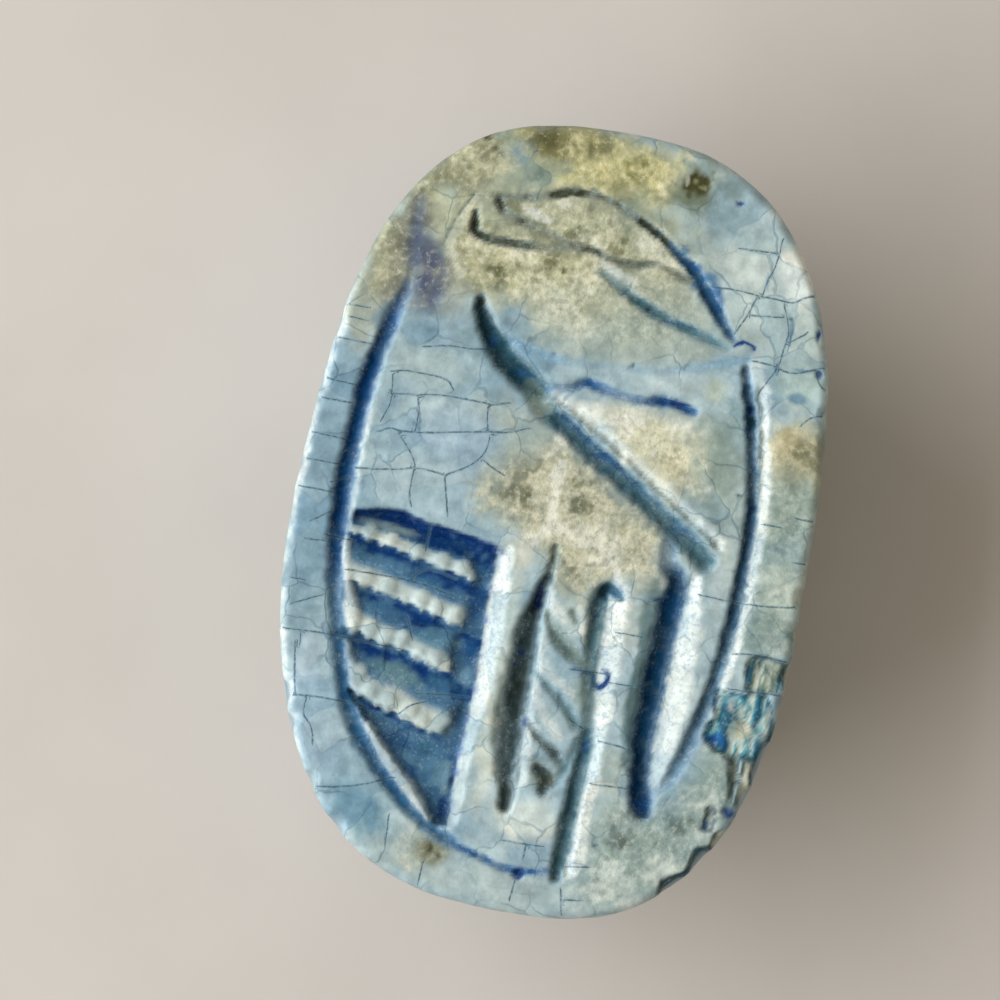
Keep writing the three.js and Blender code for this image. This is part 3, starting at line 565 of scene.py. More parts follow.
# Soft patches of tone: centre, half sizes, turn in degrees, colour and strength.
PATCHES = (
    (-1.0, 7.4, 3.9, 2.5, -8, "b4b698", 0.9), (1.0, 5.2, 3.0, 1.0, 8, "b3bdae", 0.75),
    (-0.2, 1.0, 2.6, 1.7, -30, "b9bda9", 0.75), (3.4, 1.3, 1.6, 2.4, 10, "abb8ae", 0.7),
    (1.5, -2.2, 1.2, 1.0, 0, "c0c5b4", 0.6), (-6.0, 0.4, 0.75, 5.2, 0, "87a5b4", 0.85),
    (-5.75, 4.8, 0.7, 1.3, 8, "b4b59f", 0.85), (-5.3, -5.9, 0.8, 1.7, 24, "a6bdc8", 0.8),
    (-5.7, -4.4, 0.5, 0.6, 0, "adc0cc", 0.7), (-3.7, -8.0, 1.1, 0.6, -38, "7da3b3", 0.85),
    (-2.3, -9.0, 1.2, 0.5, -15, "adbebd", 0.8), (0.7, -9.3, 2.4, 0.6, 0, "b8c8c6", 0.8),
    (3.4, -8.2, 1.6, 0.9, 35, "a3b7b4", 0.8), (5.0, -6.2, 0.8, 1.5, -18, "94aaa5", 0.85),
    (5.6, -1.2, 0.85, 1.6, 0, "a2bab8", 0.8), (5.8, -1.95, 0.6, 0.55, 0, "6c8f96", 0.9),
    (5.75, 1.5, 0.8, 1.3, 0, "9eb5ae", 0.8), (5.6, 0.15, 0.55, 0.3, 0, "86abba", 0.7),
    (5.8, -0.6, 0.6, 0.4, 0, "c3d0c6", 0.7), (5.8, 2.7, 0.75, 0.9, 0, "b8b9a0", 0.85),
    (5.6, 4.4, 0.7, 0.6, 10, "cfdfd2", 0.85), (5.2, 5.6, 0.9, 1.0, 10, "b9c8c0", 0.7),
    (4.4, 6.6, 1.3, 1.4, 35, "c9d6cf", 0.85), (5.05, 7.1, 0.8, 0.65, -50, "fffff2", 0.95),
    (3.7, 7.3, 0.8, 0.6, 20, "c8d3cd", 0.7), (3.2, 8.2, 1.3, 0.5, -25, "9fb6b8", 0.7),
    (1.6, 4.9, 2.6, 0.8, 8, "abb9b2", 0.7), (2.5, 3.95, 1.0, 0.3, 8, "c9d6d4", 0.6),
    (3.5, 4.0, 0.4, 0.3, 0, "c2cbb8", 0.7), (-1.1, 6.4, 3.0, 1.2, 0, "aeae90", 0.8),
    (-0.4, 7.7, 1.9, 0.6, -6, "a9ad96", 0.8), (-2.0, 5.6, 1.4, 0.5, 0, "b6bda8", 0.6),
    (1.6, 6.35, 1.0, 0.35, -22, "bcbfa9", 0.7), (-0.5, 9.2, 3.4, 0.75, 0, "b0b08c", 0.75),
    (-1.8, 8.7, 1.3, 0.5, 10, "a9b5a2", 0.75), (0.3, 9.0, 1.1, 0.5, 0, "c4bf93", 0.8),
    (0.3, 8.55, 1.3, 0.3, -6, "b4b48c", 0.7), (-1.2, 9.5, 1.4, 0.42, 5, "6f6b40", 0.95),
    (2.1, 8.75, 0.6, 0.4, 0, "6b6b3c", 0.75), (1.4, 8.75, 0.4, 0.4, 0, "86876a", 0.6),
    (2.9, 8.95, 0.35, 0.3, 0, "7c9190", 0.6), (-4.2, 7.3, 0.42, 0.62, 12, "cfceac", 0.85),
    (-5.3, 6.0, 0.45, 1.2, 12, "8d907a", 0.75), (-4.0, 8.5, 1.0, 0.5, 40, "9b9c7c", 0.75),
    (-2.45, 9.05, 0.5, 0.35, 20, "7f9db0", 0.6), (-4.72, 7.1, 0.25, 0.7, 0, "55597a", 0.9),
    (-4.4, 6.1, 0.5, 0.75, 20, "505870", 0.85), (-4.1, 5.35, 0.4, 0.6, 0, "5a6684", 0.85),
    (-5.0, 5.2, 0.35, 0.7, 0, "757d78", 0.7), (-3.5, 5.2, 0.3, 0.5, 0, "adb0a0", 0.7),
    (5.45, 3.0, 0.4, 0.3, 0, "c4b274", 0.85), (-3.42, -8.1, 0.16, 0.5, 10, "6590a6", 0.65),
    (-4.2, 4.1, 0.5, 0.4, 0, "86a3b0", 0.6), (-5.0, 4.4, 0.4, 0.4, 0, "84a2ac", 0.6),
    (5.6, 4.12, 0.3, 0.17, 0, "5f8ca8", 0.75), (-1.75, -8.7, 0.5, 0.36, 0, "8b8c72", 0.8),
    (2.3, -1.1, 0.7, 0.3, 0, "b9c2b2", 0.6), (3.7, 2.2, 0.6, 1.2, 8, "93a497", 0.8),
    (4.2, 3.3, 0.4, 0.8, 0, "9cb2b0", 0.6), (0.55, -7.5, 0.9, 0.6, 0, "edf0e2", 0.95),
    (2.7, -7.4, 0.8, 0.9, 10, "a9bbb6", 0.7), (-0.78, -4.2, 0.3, 3.4, 0, "dfe5d6", 0.9),
    (0.7, -2.45, 0.4, 0.5, 0, "c9d5ca", 0.8), (-0.8, -1.0, 0.4, 0.5, 0, "c6c9bb", 0.8),
    (0.5, -1.3, 0.4, 0.6, 0, "bdbca2", 0.8), (1.5, -3.8, 0.3, 0.9, 0, "97a99d", 0.7),
    (0.7, -6.4, 0.45, 0.5, 0, "8c9488", 0.7), (2.35, -5.9, 0.45, 0.7, 0, "c6ccbb", 0.7),
    # The two dark patches on the next line are painted shade on the slope that falls into the
    # right leg's cut, away from the light.
    (2.74, -4.0, 0.24, 2.1, 0, "4f6763", 0.92), (2.8, -1.9, 0.3, 1.1, 0, "627a78", 0.85),
    (-2.75, 4.2, 0.5, 0.35, -40, "7f9ba0", 0.6), (-1.1, 4.0, 0.5, 0.25, -30, "6f93a4", 0.6),
    (-2.2, 5.0, 0.35, 0.3, -50, "7d99a0", 0.5), (-3.6, 3.4, 0.9, 0.5, 0, "b7c8c4", 0.6),
    (-2.9, 1.7, 1.4, 0.8, 5, "9bb5c5", 0.75), (-2.4, 0.9, 0.6, 0.7, 0, "a6bbc7", 0.6),
    (-4.3, 0.4, 0.6, 0.6, 0, "b6c9cf", 0.6), (-1.7, 3.1, 0.6, 0.3, 30, "a3b1ad", 0.6),
    (1.2, 2.9, 1.3, 0.3, 0, "dfe3d8", 0.8), (2.3, 2.1, 1.0, 0.6, -35, "dcd9bd", 0.8),
    (-1.75, 4.75, 0.35, 0.7, 25, "7f9fb0", 0.7), (-0.9, 4.45, 0.8, 0.3, 0, "9fb3b4", 0.5),
    (-2.9, 6.95, 0.7, 0.2, 0, "6c6e50", 0.7), (-0.9, 6.9, 0.9, 0.2, 0, "77785a", 0.6),
    (-2.5, 7.7, 0.5, 0.25, -20, "6d7054", 0.7), (0.9, 6.8, 0.7, 0.18, -5, "83856a", 0.6),
    (-3.6, 6.3, 0.3, 0.4, 0, "7e805e", 0.5), (0.7, 8.1, 1.0, 0.2, -18, "85876a", 0.5),
    (3.3, -7.6, 0.4, 0.2, 20, "66756c", 0.6), (4.5, -7.0, 0.3, 0.25, 0, "6c7c74", 0.6),
    (4.45, 4.6, 0.22, 0.55, 15, "dfe8e4", 0.85), (4.4, -1.0, 0.3, 1.2, 0, "c8d4cf", 0.6),
)

# Buried crust left standing on the glaze: thickness, cover, colours from dark to light and
# corners.
CRUSTS = {
    "centre": (0.06, 0.95, ("838369", "cac8ad", "eeecda"), (
        (-1.5, 1.3), (-.6, 1.9), (.1, 2.0), (1.2, 1.35), (2.4, .55), (2.8, .2), (2.72, -.9),
        (1.6, -1.25), (.9, -2.0), (.3, -1.6), (-.3, -.8), (-1.0, -.35), (-1.9, .0), (-2.2, .6))),
    "east": (0.04, 0.9, ("c6c2a0", "e6e2c3", "f6f4e4"), (
        (.6, 3.1), (1.1, 2.35), (2.0, 1.6), (2.9, 1.05), (3.5, 1.3), (3.3, 2.6), (2.2, 3.2))),
    "head left": (0.08, 0.95, ("737450", "bdbb97", "e6e3c3"), (
        (-3.6, 7.9), (-4.0, 6.4), (-3.5, 5.4), (-2.9, 5.2), (-1.6, 5.4), (-.2, 5.0), (.4, 6.0),
        (.1, 7.0), (-1.6, 7.2), (-3.1, 7.3))),
    "head": (0.06, 0.9, ("7d7f5e", "bcbd9f", "dfdfc8"), (
        (-3.2, 8.0), (-1.4, 8.3), (.2, 8.2), (1.4, 7.5), (2.3, 6.7), (1.9, 6.1), (1.0, 6.4),
        (0, 6.6), (-1.4, 6.7), (-2.6, 7.0))),
    "top olive": (0.06, 0.9, ("5c5a33", "89865a", "b0ab7c"), (
        (-3.0, 9.75), (-2.0, 9.2), (-1.3, 8.9), (-.5, 9.2), (.2, 9.7), (-.3, 10.0),
        (-1.6, 10.0))),
    "top": (0.07, 0.95, ("8d8950", "cfc892", "eee6b8"), (
        (-1.1, 9.2), (-1.2, 8.6), (.4, 8.35), (1.4, 8.5), (1.7, 9.6), (.6, 9.9), (-.2, 9.4))),
    "shoulder edge": (0.08, 0.9, ("565234", "949272", "c2c09e"), (
        (-5.5, 6.5), (-5.5, 5.2), (-4.6, 5.0), (-4.4, 7.8), (-3.4, 7.9), (-2.6, 8.8),
        (-3.0, 9.6), (-4.2, 9.0), (-5.2, 7.6))),
    "smear": (0.05, 0.7, ("3a4052", "565c72", "84867f"), (
        (-4.95, 7.3), (-4.5, 7.4), (-4.25, 6.6), (-3.6, 6.2), (-3.5, 5.5), (-4.0, 4.9),
        (-4.9, 5.0), (-4.95, 6.2))),
    "brown edge": (0.06, 0.85, ("857f58", "c6c09a", "e8e2bc"), (
        (5.05, 2.3), (6.6, 1.9), (6.6, 3.4), (5.1, 3.35))),
    "foot": (0.06, 0.8, ("585a3c", "9ea084", "cdceb6"), (
        (-2.3, -8.35), (-1.4, -8.4), (-1.3, -8.95), (-2.1, -9.05))),
    "shoulder": (0.04, 0.55, ("87907c", "b3bba8", "d5dac9"), (
        (-2.3, 5.4), (-1.0, 4.6), (1.0, 4.5), (3.0, 5.0), (2.6, 6.4), (.5, 6.5), (-1.5, 5.7))),
    "south east": (0.06, 0.7, ("55655c", "a0b1a8", "d9e0d5"), (
        (2.4, -6.7), (4.2, -6.4), (4.9, -5.0), (5.9, -6.0), (4.9, -8.1), (3.4, -9.3),
        (2.2, -9.5), (2.2, -8.0))),
    "right edge": (0.04, 0.5, ("7f8872", "b4bda8", "d6dccb"), (
        (5.1, 2.2), (6.5, 2.2), (6.6, .6), (6.5, -2.4), (5.2, -2.4), (5.1, .0))),
}

# Small marks: centre, half sizes, colour and strength.
SPOTS = (
    (2.2, 9.05, .38, .34, "pit", 1), (2.1, 9.1, .08, .07, "olive", .7),
    (2.32, 8.95, .1, .06, "olive", .8), (-3.9, -.44, .5, .06, "ink", .6),
    (-2.5, -.68, .6, .06, "ink", .6), (-1.5, -.9, .2, .1, "ink", .5),
    (1.5, 5.72, .12, .06, "earth", .8), (2.2, 5.46, .3, .05, "navy", .5),
    (-2.3, 4.3, .14, .2, "navy", .5), (-1.5, 3.6, .3, .12, "navy", .5),
    (.9, 1.85, .3, .08, "navy", .6), (3.1, .35, .25, .06, "navy", .4),
    (5.55, -4.42, .28, .28, "tan", .6), (5.15, -3.85, .12, .25, "bare", .4),
    (6.08, -4.2, .1, .5, "cream", .4), (5.7, -5.1, .3, .07, "earth", .8),
    (4.75, -3.8, .07, .3, "deep sea", .8), (5.3, -3.56, .3, .05, "deep sea", .7),
    (3.0, -1.5, .3, .05, "ink", .5), (1.88, 9.12, .06, .14, "cream", .8),
    (2.02, 8.72, .1, .1, "pit", .7), (-3.25, 9.32, .14, .06, "pit", .9),
    (-3.0, 9.1, .08, .06, "pit", .7), (5.8, 5.75, .07, .18, "ink", .95),
    (5.98, 4.78, .1, .12, "ink", .9), (3.32, 8.72, .14, .07, "ink", .9),
    (5.52, -6.55, .14, .11, "ink", .9), (4.45, 1.42, .07, .05, "earth", .9),
    (1.27, 4.25, .06, .06, "earth", .8), (5.07, 6.05, .06, .05, "earth", .8),
    (2.3, -7.9, .05, .05, "earth", .7), (1.93, .72, .07, .06, "bare", 1),
    (-4.45, 5.55, .09, .05, "pit", .9), (5.1, 5.6, .06, .3, "blue", .6),
    (4.9, 4.75, .06, .2, "blue", .6), (5.6, 6.7, .2, .05, "blue", .5),
    (4.3, 6.9, .05, .2, "slate", .6), (5.55, 4.8, .25, .05, "blue", .6),
    (.52, -8.93, .16, .14, "ink", .9), (1.72, -1.5, .22, .17, "slate", .7),
    # The two bare spots on the next line are a painted highlight on the slope above the crossing
    # that faces the light.
    (.35, 3.0, .36, .17, "bare", .9), (-.35, 3.05, .16, .1, "bare", .8),
    (4.95, -4.78, .33, .2, "navy", .95), (4.8, -4.75, .12, .1, "ink", .8),
    (6.45, -.88, .06, .08, "pit", .8), (5.45, 2.97, .3, .2, "tan", .5),
    (2.5, 6.95, .13, .1, "navy", .8), (2.8, 6.72, .16, .1, "navy", .7),
    (3.08, 6.42, .14, .2, "navy", .8), (2.9, 6.75, .3, .16, "blue", .7),
    (3.2, 6.2, .12, .3, "navy", .7), (2.62, 6.5, .2, .2, "blue", .8),
    (2.1, 7.3, .14, .12, "blue", .7), (2.35, 7.05, .1, .06, "ink", .8),
    (1.38, 7.6, .12, .07, "earth", .9), (-.1, -1.95, .1, .36, "ink", .85),
    (-.35, -3.4, .12, .06, "ink", .7), (-.42, -3.7, .09, .06, "ink", .7),
    (.05, -5.1, .09, .16, "ink", .6), (1.5, -1.52, .13, .2, "earth", .9),
    (3.0, -1.5, .14, .06, "ink", .8), (3.34, -6.7, .2, .22, "navy", .9),
    (1.68, -5.5, .1, .25, "navy", .75), (4.52, 3.3, .13, .14, "earth", .95),
    (4.4, 3.62, .09, .1, "ink", .8), (4.84, 1.15, .07, .2, "ink", .7),
    (4.72, -3.0, .1, .3, "slate", .5), (-.72, 4.18, .1, .07, "ink", .7),
    (.28, 3.62, .18, .09, "navy", .9), (2.5, 3.48, .36, .08, "ink", .7),
    (-.38, 2.02, .3, .04, "earth", .2), (-3.75, -5.4, .2, .07, "ink", .85),
    (-3.6, -4.08, .1, .07, "ink", .8), (-2.68, -4.26, .12, .06, "ink", .8),
    (-1.64, -7.62, .12, .32, "ink", .7), (-1.62, -6.3, .08, .08, "ink", .6),
    (-5.05, -3.68, .16, .09, "ink", .7), (5.05, -7.8, .16, .2, "earth", .8),
    (4.35, -8.62, .2, .08, "pit", .7), (-1.8, -8.62, .1, .12, "pit", .8),
    (-1.55, -8.8, .07, .07, "pit", .7), (-2.65, 7.72, .14, .1, "pit", .6),
    (-3.2, 7.15, .08, .25, "pit", .7), (.6, 6.78, .3, .07, "pit", .45),
    (-.2, 6.97, .12, .08, "pit", .6), (-2.74, 5.22, .1, .1, "pit", .6),
    (1.1, 5.88, .2, .1, "earth", .6), (0.85, -6.45, .22, .2, "olive dark", .5),
    (-4.55, -5.2, .2, .12, "navy", .5),
)


def linear(code):
    """The one way colours enter: an sRGB hex code as linear red, green and blue."""
    value = np.array([int(code[i:i + 2], 16) for i in (0, 2, 4)]) / 255
    return np.where(value <= 0.04045, value / 12.92, ((value + 0.055) / 1.055) ** 2.4)


def colour_of(name):
    """A named look of the table above, in linear light."""
    return linear(COLOURS[name])


def wash(tone, colour, share):
    """Lays a colour over the tone field where share is above 0."""
    return tone + (colour - tone) * np.clip(share, 0, 1)[..., None]


def blob(x, y, cx, cy, rx, ry, turn=0.0):
    """Elliptical distance from a centre, 1 on the ellipse."""
    c, s = math.cos(math.radians(turn)), math.sin(math.radians(turn))
    dx, dy = x - cx, y - cy
    return np.hypot((dx * c + dy * s) / rx, (dy * c - dx * s) / ry)


def feathers(x, y):
    """Depth of the panel's ground and how much blue glaze lies on it. Down each row the ground
    climbs slowly from the cut above to the row's crest, then drops steeply to the next cut.
    Worn teeth stand along the crests."""
    lines = [(depth, np.interp(x, *np.array(line).T)) for depth, line in PANEL_LINES]
    fade = 1 - ease(*FEATHER_END, x + 0.25 * grain(x, y, 0 * x, 0.6, 31)
                    - 0.2 * np.sin(2.2 * y))
    depth = np.full(x.shape, lines[0][0])
    blue = np.full(x.shape, 1.2)
    scallop = 0.1 * np.abs(np.sin(math.pi * (x + 0.1 * grain(x, y, 0 * x, 0.4, 34)) / 0.38))
    scallop = scallop + 0.05 * grain(x, y, 0 * x, 0.2, 37, 2)
    for index, ((d0, y0), (d1, y1)) in enumerate(zip(lines[:-1], lines[1:])):
        t = np.clip((y0 - y + scallop * (index % 2)) / (y0 - y1), 0, 1)
        if index >= PLAIN_FROM:
            level, cover = mix(d0, d1, t), 0.6 + 0.3 * t
        elif index % 2:
            level, cover = mix(d0, d1, ease(0.1, 0.9, t)), 0.95 * ease(0.2, 0.9, t)
        else:
            foot = 1.2 if index == 0 else 0.45 * (1 - ease(0.1, 0.45, t)) + 0.65
            level, cover = mix(d0, d1, t**0.8), foot * (1 - ease(0.4, 0.78, t))
        here = (y <= y0) & (y > y1)
        depth = np.where(here, level, depth)
        blue = np.where(here, cover, blue)
    low = y < lines[PLAIN_FROM][1]
    ground = 0.42 + 0.05 * grain(x, y, 0 * x, 0.5, 32)
    depth = np.where(low, depth, mix(ground, depth, fade))
    blue = np.where(low | (blue > 1), blue, mix(0.75, blue, fade))
    for cx, cy, size in KNOBS:
        q = blob(x, y, cx, cy, 0.9 * size, 1.2 * size, -16)
        swell = np.clip(1 - q**3, 0, 1)
        depth = depth - KNOB_RISE * swell
        blue = blue * (1 - 0.95 * swell)
    return depth * (0.45 + 0.55 * ease(-5.1, -4.3, x)), blue


def mottled(tone, cloud, shades, share):
    """Lays three shades over the tone, from dark to light, as the cloud's blotches."""
    dark, middle, light = (linear(code) for code in shades)
    shade = mix(dark, middle, ease(-0.55, -0.2, cloud)[..., None])
    shade = mix(shade, light, ease(0.1, 0.6, cloud)[..., None])
    return mix(tone, shade, np.clip(share, 0, 1)[..., None])


def calmed(field, closed=False):
    """Each place of a grid averaged with its four neighbours, so that no cut ends in steps. The
    columns of a closed band run on from the last to the first."""
    wide = np.pad(field, ((1, 1), (0, 0)), "edge")
    wide = np.pad(wide, ((0, 0), (1, 1)), "wrap" if closed else "edge")
    return (4 * field + wide[:-2, 1:-1] + wide[2:, 1:-1] + wide[1:-1, :-2]
            + wide[1:-1, 2:]) / 8


class Face:
    """The engraved face while it is worked: how deep each place lies, its tone in linear light,
    and how much of it is crust, pooled glaze, and bare stone together with painted highlight,
    which share one field. The noises break up every edge."""

    def __init__(self, x, y):
        self.x, self.y, self.flat = x, y, 0 * x
        self.drift = 0.12 * self.noise(0.8, 21)
        self.fine = self.noise(0.22, 22)
        self.grit = self.noise(0.15, 30, 2)
        self.cloud = self.noise(1.1, 35, 4)
        self.lumps = 0.9 * self.noise(0.75, 33, 4)
        self.depth = 0.035 * self.noise(2.4, 23) + 0.02 * self.noise(0.7, 36, 2)
        self.tone = np.broadcast_to(colour_of("clear"), x.shape + (3,)).copy()
        self.crust, self.bare, self.pool = (self.flat.copy() for _ in range(3))

    def noise(self, cell, seed, octaves=3):
        """Lattice noise over the face."""
        return grain(self.x, self.y, self.flat, cell, seed, octaves)

    def paint(self, colour, share):
        """Lays a linear colour over the tone, as strongly as share says at each place."""
        self.tone = wash(self.tone, colour, share)

    def darken(self, share):
        """Takes a share of its light from the tone."""
        self.tone = self.tone * (1 - share)[..., None]


def cut_path(points):
    """A smooth path through points of four or five values. A share left out is 1."""
    return smooth_path([(*point, 1.0)[:5] for point in points])


def tint_patches(face):
    """Thinner and thicker glaze in clouds, then the soft patches of tone."""
    face.paint(colour_of("thin cloud"), 0.4 * ease(0.15, 0.9, face.cloud))
    face.paint(colour_of("thick cloud"), 0.4 * ease(0.1, 0.9, -face.cloud))
    for cx, cy, rx, ry, turn, code, strength in PATCHES:
        q = blob(face.x + face.drift, face.y + 0.8 * face.drift, cx, cy, rx, ry, turn)
        face.paint(linear(code), strength * (1 - ease(0.5, 1.3, q + 0.16 * face.fine)))
    face.tone = face.tone * (1 + 0.1 * face.fine + 0.1 * face.cloud)[..., None]


def paint_left_edge_highlight(face):
    """A painted highlight along the slab's left edge, the side that faces the light: a thin broken
    line in the white stone's colour.
    """
    angle = np.arctan2(face.y, face.x)
    shore = edge_radius(angle) - np.hypot(face.x, face.y) - 0.06 * face.fine
    edge_highlight = 0.75 * (1 - ease(0.06, 0.2, shore)) * ease(0.1, 0.7, -np.cos(angle + 0.15))
    edge_highlight = edge_highlight * ease(-0.7, 0.3, face.lumps + 0.5 * face.grit) * ease(6.2, 4.2, face.y)
    face.paint(colour_of("bare"), edge_highlight)
    face.bare = np.maximum(face.bare, edge_highlight)


def lay_crusts(face):
    """Crust of the ground in its fields, standing in lumps with small dark pits."""
    for thick, cover, shades, corners in CRUSTS.values():
        gap = inside(face.x, face.y, corners) + 1.1 * face.drift + 0.12 * face.fine
        share = cover * ease(-0.4, 0.5, gap + 0.35 * face.lumps + 0.15 * face.grit)
        face.tone = mottled(face.tone, face.lumps + 0.25 * face.grit, shades, share)
        face.depth = face.depth - thick * share * (0.5 + face.lumps + 0.4 * face.grit)
        face.crust = np.maximum(face.crust, share)
    pitted = face.crust * ease(0.35, 0.8, -face.grit)
    face.darken(0.25 * pitted)
    face.depth = face.depth + 0.03 * pitted


def carve_facets(face):
    """Long slopes to the left of their paths, deepest at the path and fading outwards. Their pale
    colour is partly worn stone and partly painted highlight, as they face the light.
    """
    for deep, look, strength, path in FACETS.values():
        gap, side, (left, right, kept) = beside(face.x, face.y, cut_path(path), 1.2)
        half = np.maximum(np.where(side > 0, left, right), 1e-3)
        gap = gap + 0.06 * face.grit + 0.07 * face.fine
        t = np.clip(gap / half, 0, 1)
        slope = deep * (1 - t) ** 1.2 + 0.05 * face.fine * np.sin(math.pi * t)
        face.depth = np.maximum(face.depth, slope)
        share = strength * kept * (1 - ease(0.75, 1.2, gap / half)) * (side > 0)
        face.paint(colour_of(look), share)
        face.bare = np.maximum(face.bare, share * (look == "bare"))
        face.crust = face.crust * (1 - share)


def sink_panel(face):
    """The sunk panel of feathers, with blue glaze pooled between its rows and a violet line
    along its rim."""
    x, fine = face.x, face.fine
    edge = inside(x, face.y, PANEL) + 0.03 * fine
    ground, blue = feathers(x, face.y)
    rows = ease(-0.02, mix(0.07, 0.14, ease(-1.1, -1.9, x)), edge)
    face.depth = np.maximum(face.depth, ground * rows)
    cover = ease(-0.03, 0.08, edge) * ease(-1.2, -1.45, x + 0.06 * face.grit)
    blue = np.clip(blue * (0.9 + 0.2 * fine + 0.15 * face.lumps), 0, 1.2)
    face.paint(colour_of("panel bed"), 0.85 * cover)
    face.paint(colour_of("blue"), cover * ease(0.0, 0.5, blue) * 0.92)
    face.paint(colour_of("teal"), cover * ease(0.7, 1.0, blue) * 0.95)
    for cx, cy, rx, ry, turn, code, strength in PANEL_TONES:
        q = blob(x + 0.6 * face.drift, face.y, cx, cy, rx, ry, turn) + 0.2 * fine
        face.paint(linear(code), strength * cover * ease(0.0, 0.3, blue)
                   * (1 - ease(0.5, 1.25, q)))
    rim = np.exp(-((edge - 0.04) / 0.07) ** 2) * ease(-2.0, -1.6, x)
    face.paint(colour_of("violet"), 0.75 * rim * ease(0.0, 0.5, face.grit))
    face.pool = np.maximum(face.pool, cover * blue)
    face.bare = face.bare * (1 - cover)


def cut_grooves(face):
    """The narrow cuts. Their width wavers, glaze fills them towards the middle, and a faint
    run of it lies along both sides of the clean ones."""
    reach = 0.95
    for deep, power, look, fill, path in CUTS.values():
        gap, side, (left, right, kept) = beside(face.x, face.y, cut_path(path), reach)
        half = np.where(side > 0, left, right) * (1 + 0.16 * face.noise(0.45, 24, 2))
        half = np.maximum(half, 1e-3)
        t = np.clip((gap + 0.035 * face.grit) / (half * 1.2), 0, 1)
        section = (1 - t**power) ** 1.8 * (gap < reach)
        if look == "olive dark":
            section = section * mix(0.35, 1.0, ease(-0.7, 0.3, face.lumps + 0.4 * face.grit))
        face.depth = np.maximum(face.depth, deep * kept * (1 + 0.8 * face.drift) * section)
        share = kept * fill * (0.8 + 0.4 * ease(-0.6, 0.6, face.fine + 0.5 * face.lumps))
        halo = kept * fill * (1 - ease(0.7, 1.9, gap / half))
        face.paint(colour_of("slate"), 0.25 * halo * (look not in ("grime", "olive dark")))
        thin = mix(colour_of(look), colour_of("clear"), 0.4)
        face.paint(thin, np.minimum(share, 1) * ease(0.03, 0.3, section))
        face.paint(colour_of(look), np.minimum(share, 1) * ease(0.2, 0.7, section))
        face.pool = np.maximum(face.pool, share * section)
        face.bare = face.bare * (1 - ease(0.1, 0.4, section))
        face.crust = face.crust * (1 - 0.5 * ease(0.1, 0.4, section))


def paint_wall_shade_and_highlight(face):
    """Painted shade on the steep left walls of the cuts, which face away from the light at the
    left, where glaze lies; and a painted highlight on the right walls, which face that light."""
    lean = np.gradient(face.depth, axis=1) / np.gradient(face.x, axis=1)
    wet = ease(0.05, 0.4, face.pool)
    # painted shade on walls facing away from the light, then a painted highlight on walls facing
    # it
    face.darken(0.5 * wet * ease(0.4, 1.6, lean))
    face.paint(colour_of("painted lit wall"), 0.3 * wet * ease(0.5, 1.6, -lean))


def leave_ridges(face):
    """Narrow lands that were left standing between the cuts."""
    reach = 0.5
    for top, look, strength, path in RIDGES.values():
        gap, side, (left, right) = beside(face.x, face.y, smooth_path(path), reach)
        t = (gap + 0.05 * face.grit) / np.maximum(np.where(side > 0, left, right), 1e-3)
        share = (1 - ease(0.55, 1.25, t)) * (gap < reach)
        face.depth = mix(face.depth, top + 0.04 * np.clip(t, 0, 1) ** 2, share)
        face.paint(colour_of(look), strength * share)
        face.bare = np.maximum(face.bare, 0.6 * strength * share * (look == "bare"))


def break_chips(face):
    """Pieces broken away, their floor drawn out into upright fibres with pale crests and deep
    blue between them, and a dark broken line round each."""
    ragged = 0.05 * face.noise(0.3, 25, 2)
    fibre = grain(2.1 * (face.x + 0.05 * face.fine), 0.4 * face.y, face.flat, 0.3, 28, 4)
    floor = 0.75 + 0.5 * grain(face.x, 0.35 * face.y, face.flat, 0.5, 26, 2)
    broken = ease(-0.6, 0.3, face.grit + face.lumps)
    for deep, look, corners in CHIPS.values():
        gap = inside(face.x, face.y, corners) + ragged
        share = ease(-0.02, 0.05, gap)
        face.depth = face.depth + share * (deep * floor + 0.06 * fibre)
        face.paint(colour_of(look), 0.95 * share)
        face.paint(colour_of("fibre crest"), 0.75 * share * ease(0.1, 0.5, fibre))
        face.paint(colour_of("fibre cleft"), 0.9 * share * ease(0.0, 0.3, -fibre))
        face.paint(colour_of("broken line"), 0.8 * broken * np.exp(-((gap - 0.02) / 0.06) ** 2))
        face.crust = np.maximum(face.crust, 0.4 * share)


def touch_spots(face):
    """Small marks. The darkest ones are pits."""
    for cx, cy, rx, ry, look, strength in SPOTS:
        q = blob(face.x, face.y, cx, cy, rx, ry) + 0.25 * face.fine + 0.3 * face.grit
        share = strength * (1 - ease(0.55, 1.25, q))
        face.paint(colour_of(look), share)
        face.depth = face.depth + 0.08 * share * (look in ("pit", "ink", "earth"))


def engrave(x, y):
    """Everything cut in, broken out of or left on the face, in the order in which it came."""
    face = Face(x, y)
    for work in (tint_patches, paint_left_edge_highlight, lay_crusts, carve_facets, sink_panel, cut_grooves,
                 paint_wall_shade_and_highlight, leave_ridges, break_chips, touch_spots):
        work(face)
    face.depth = calmed(face.depth)
    return face


def crack_field(x, y):
    """Signed distance to the nearest laid crack, and how far off it is. Both change evenly
    across a crack, so it can be drawn much finer than the grid."""
    signed, closest = np.full(x.shape, 1.0), np.full(x.shape, 1.0)
    for line in CRACKS:
        gap, side, _ = beside(x, y, smooth_path(line, 4), 0.3)
        nearer = gap < closest
        signed = np.where(nearer, gap * side, signed)
        closest = np.where(nearer, gap, closest)
    return signed, closest


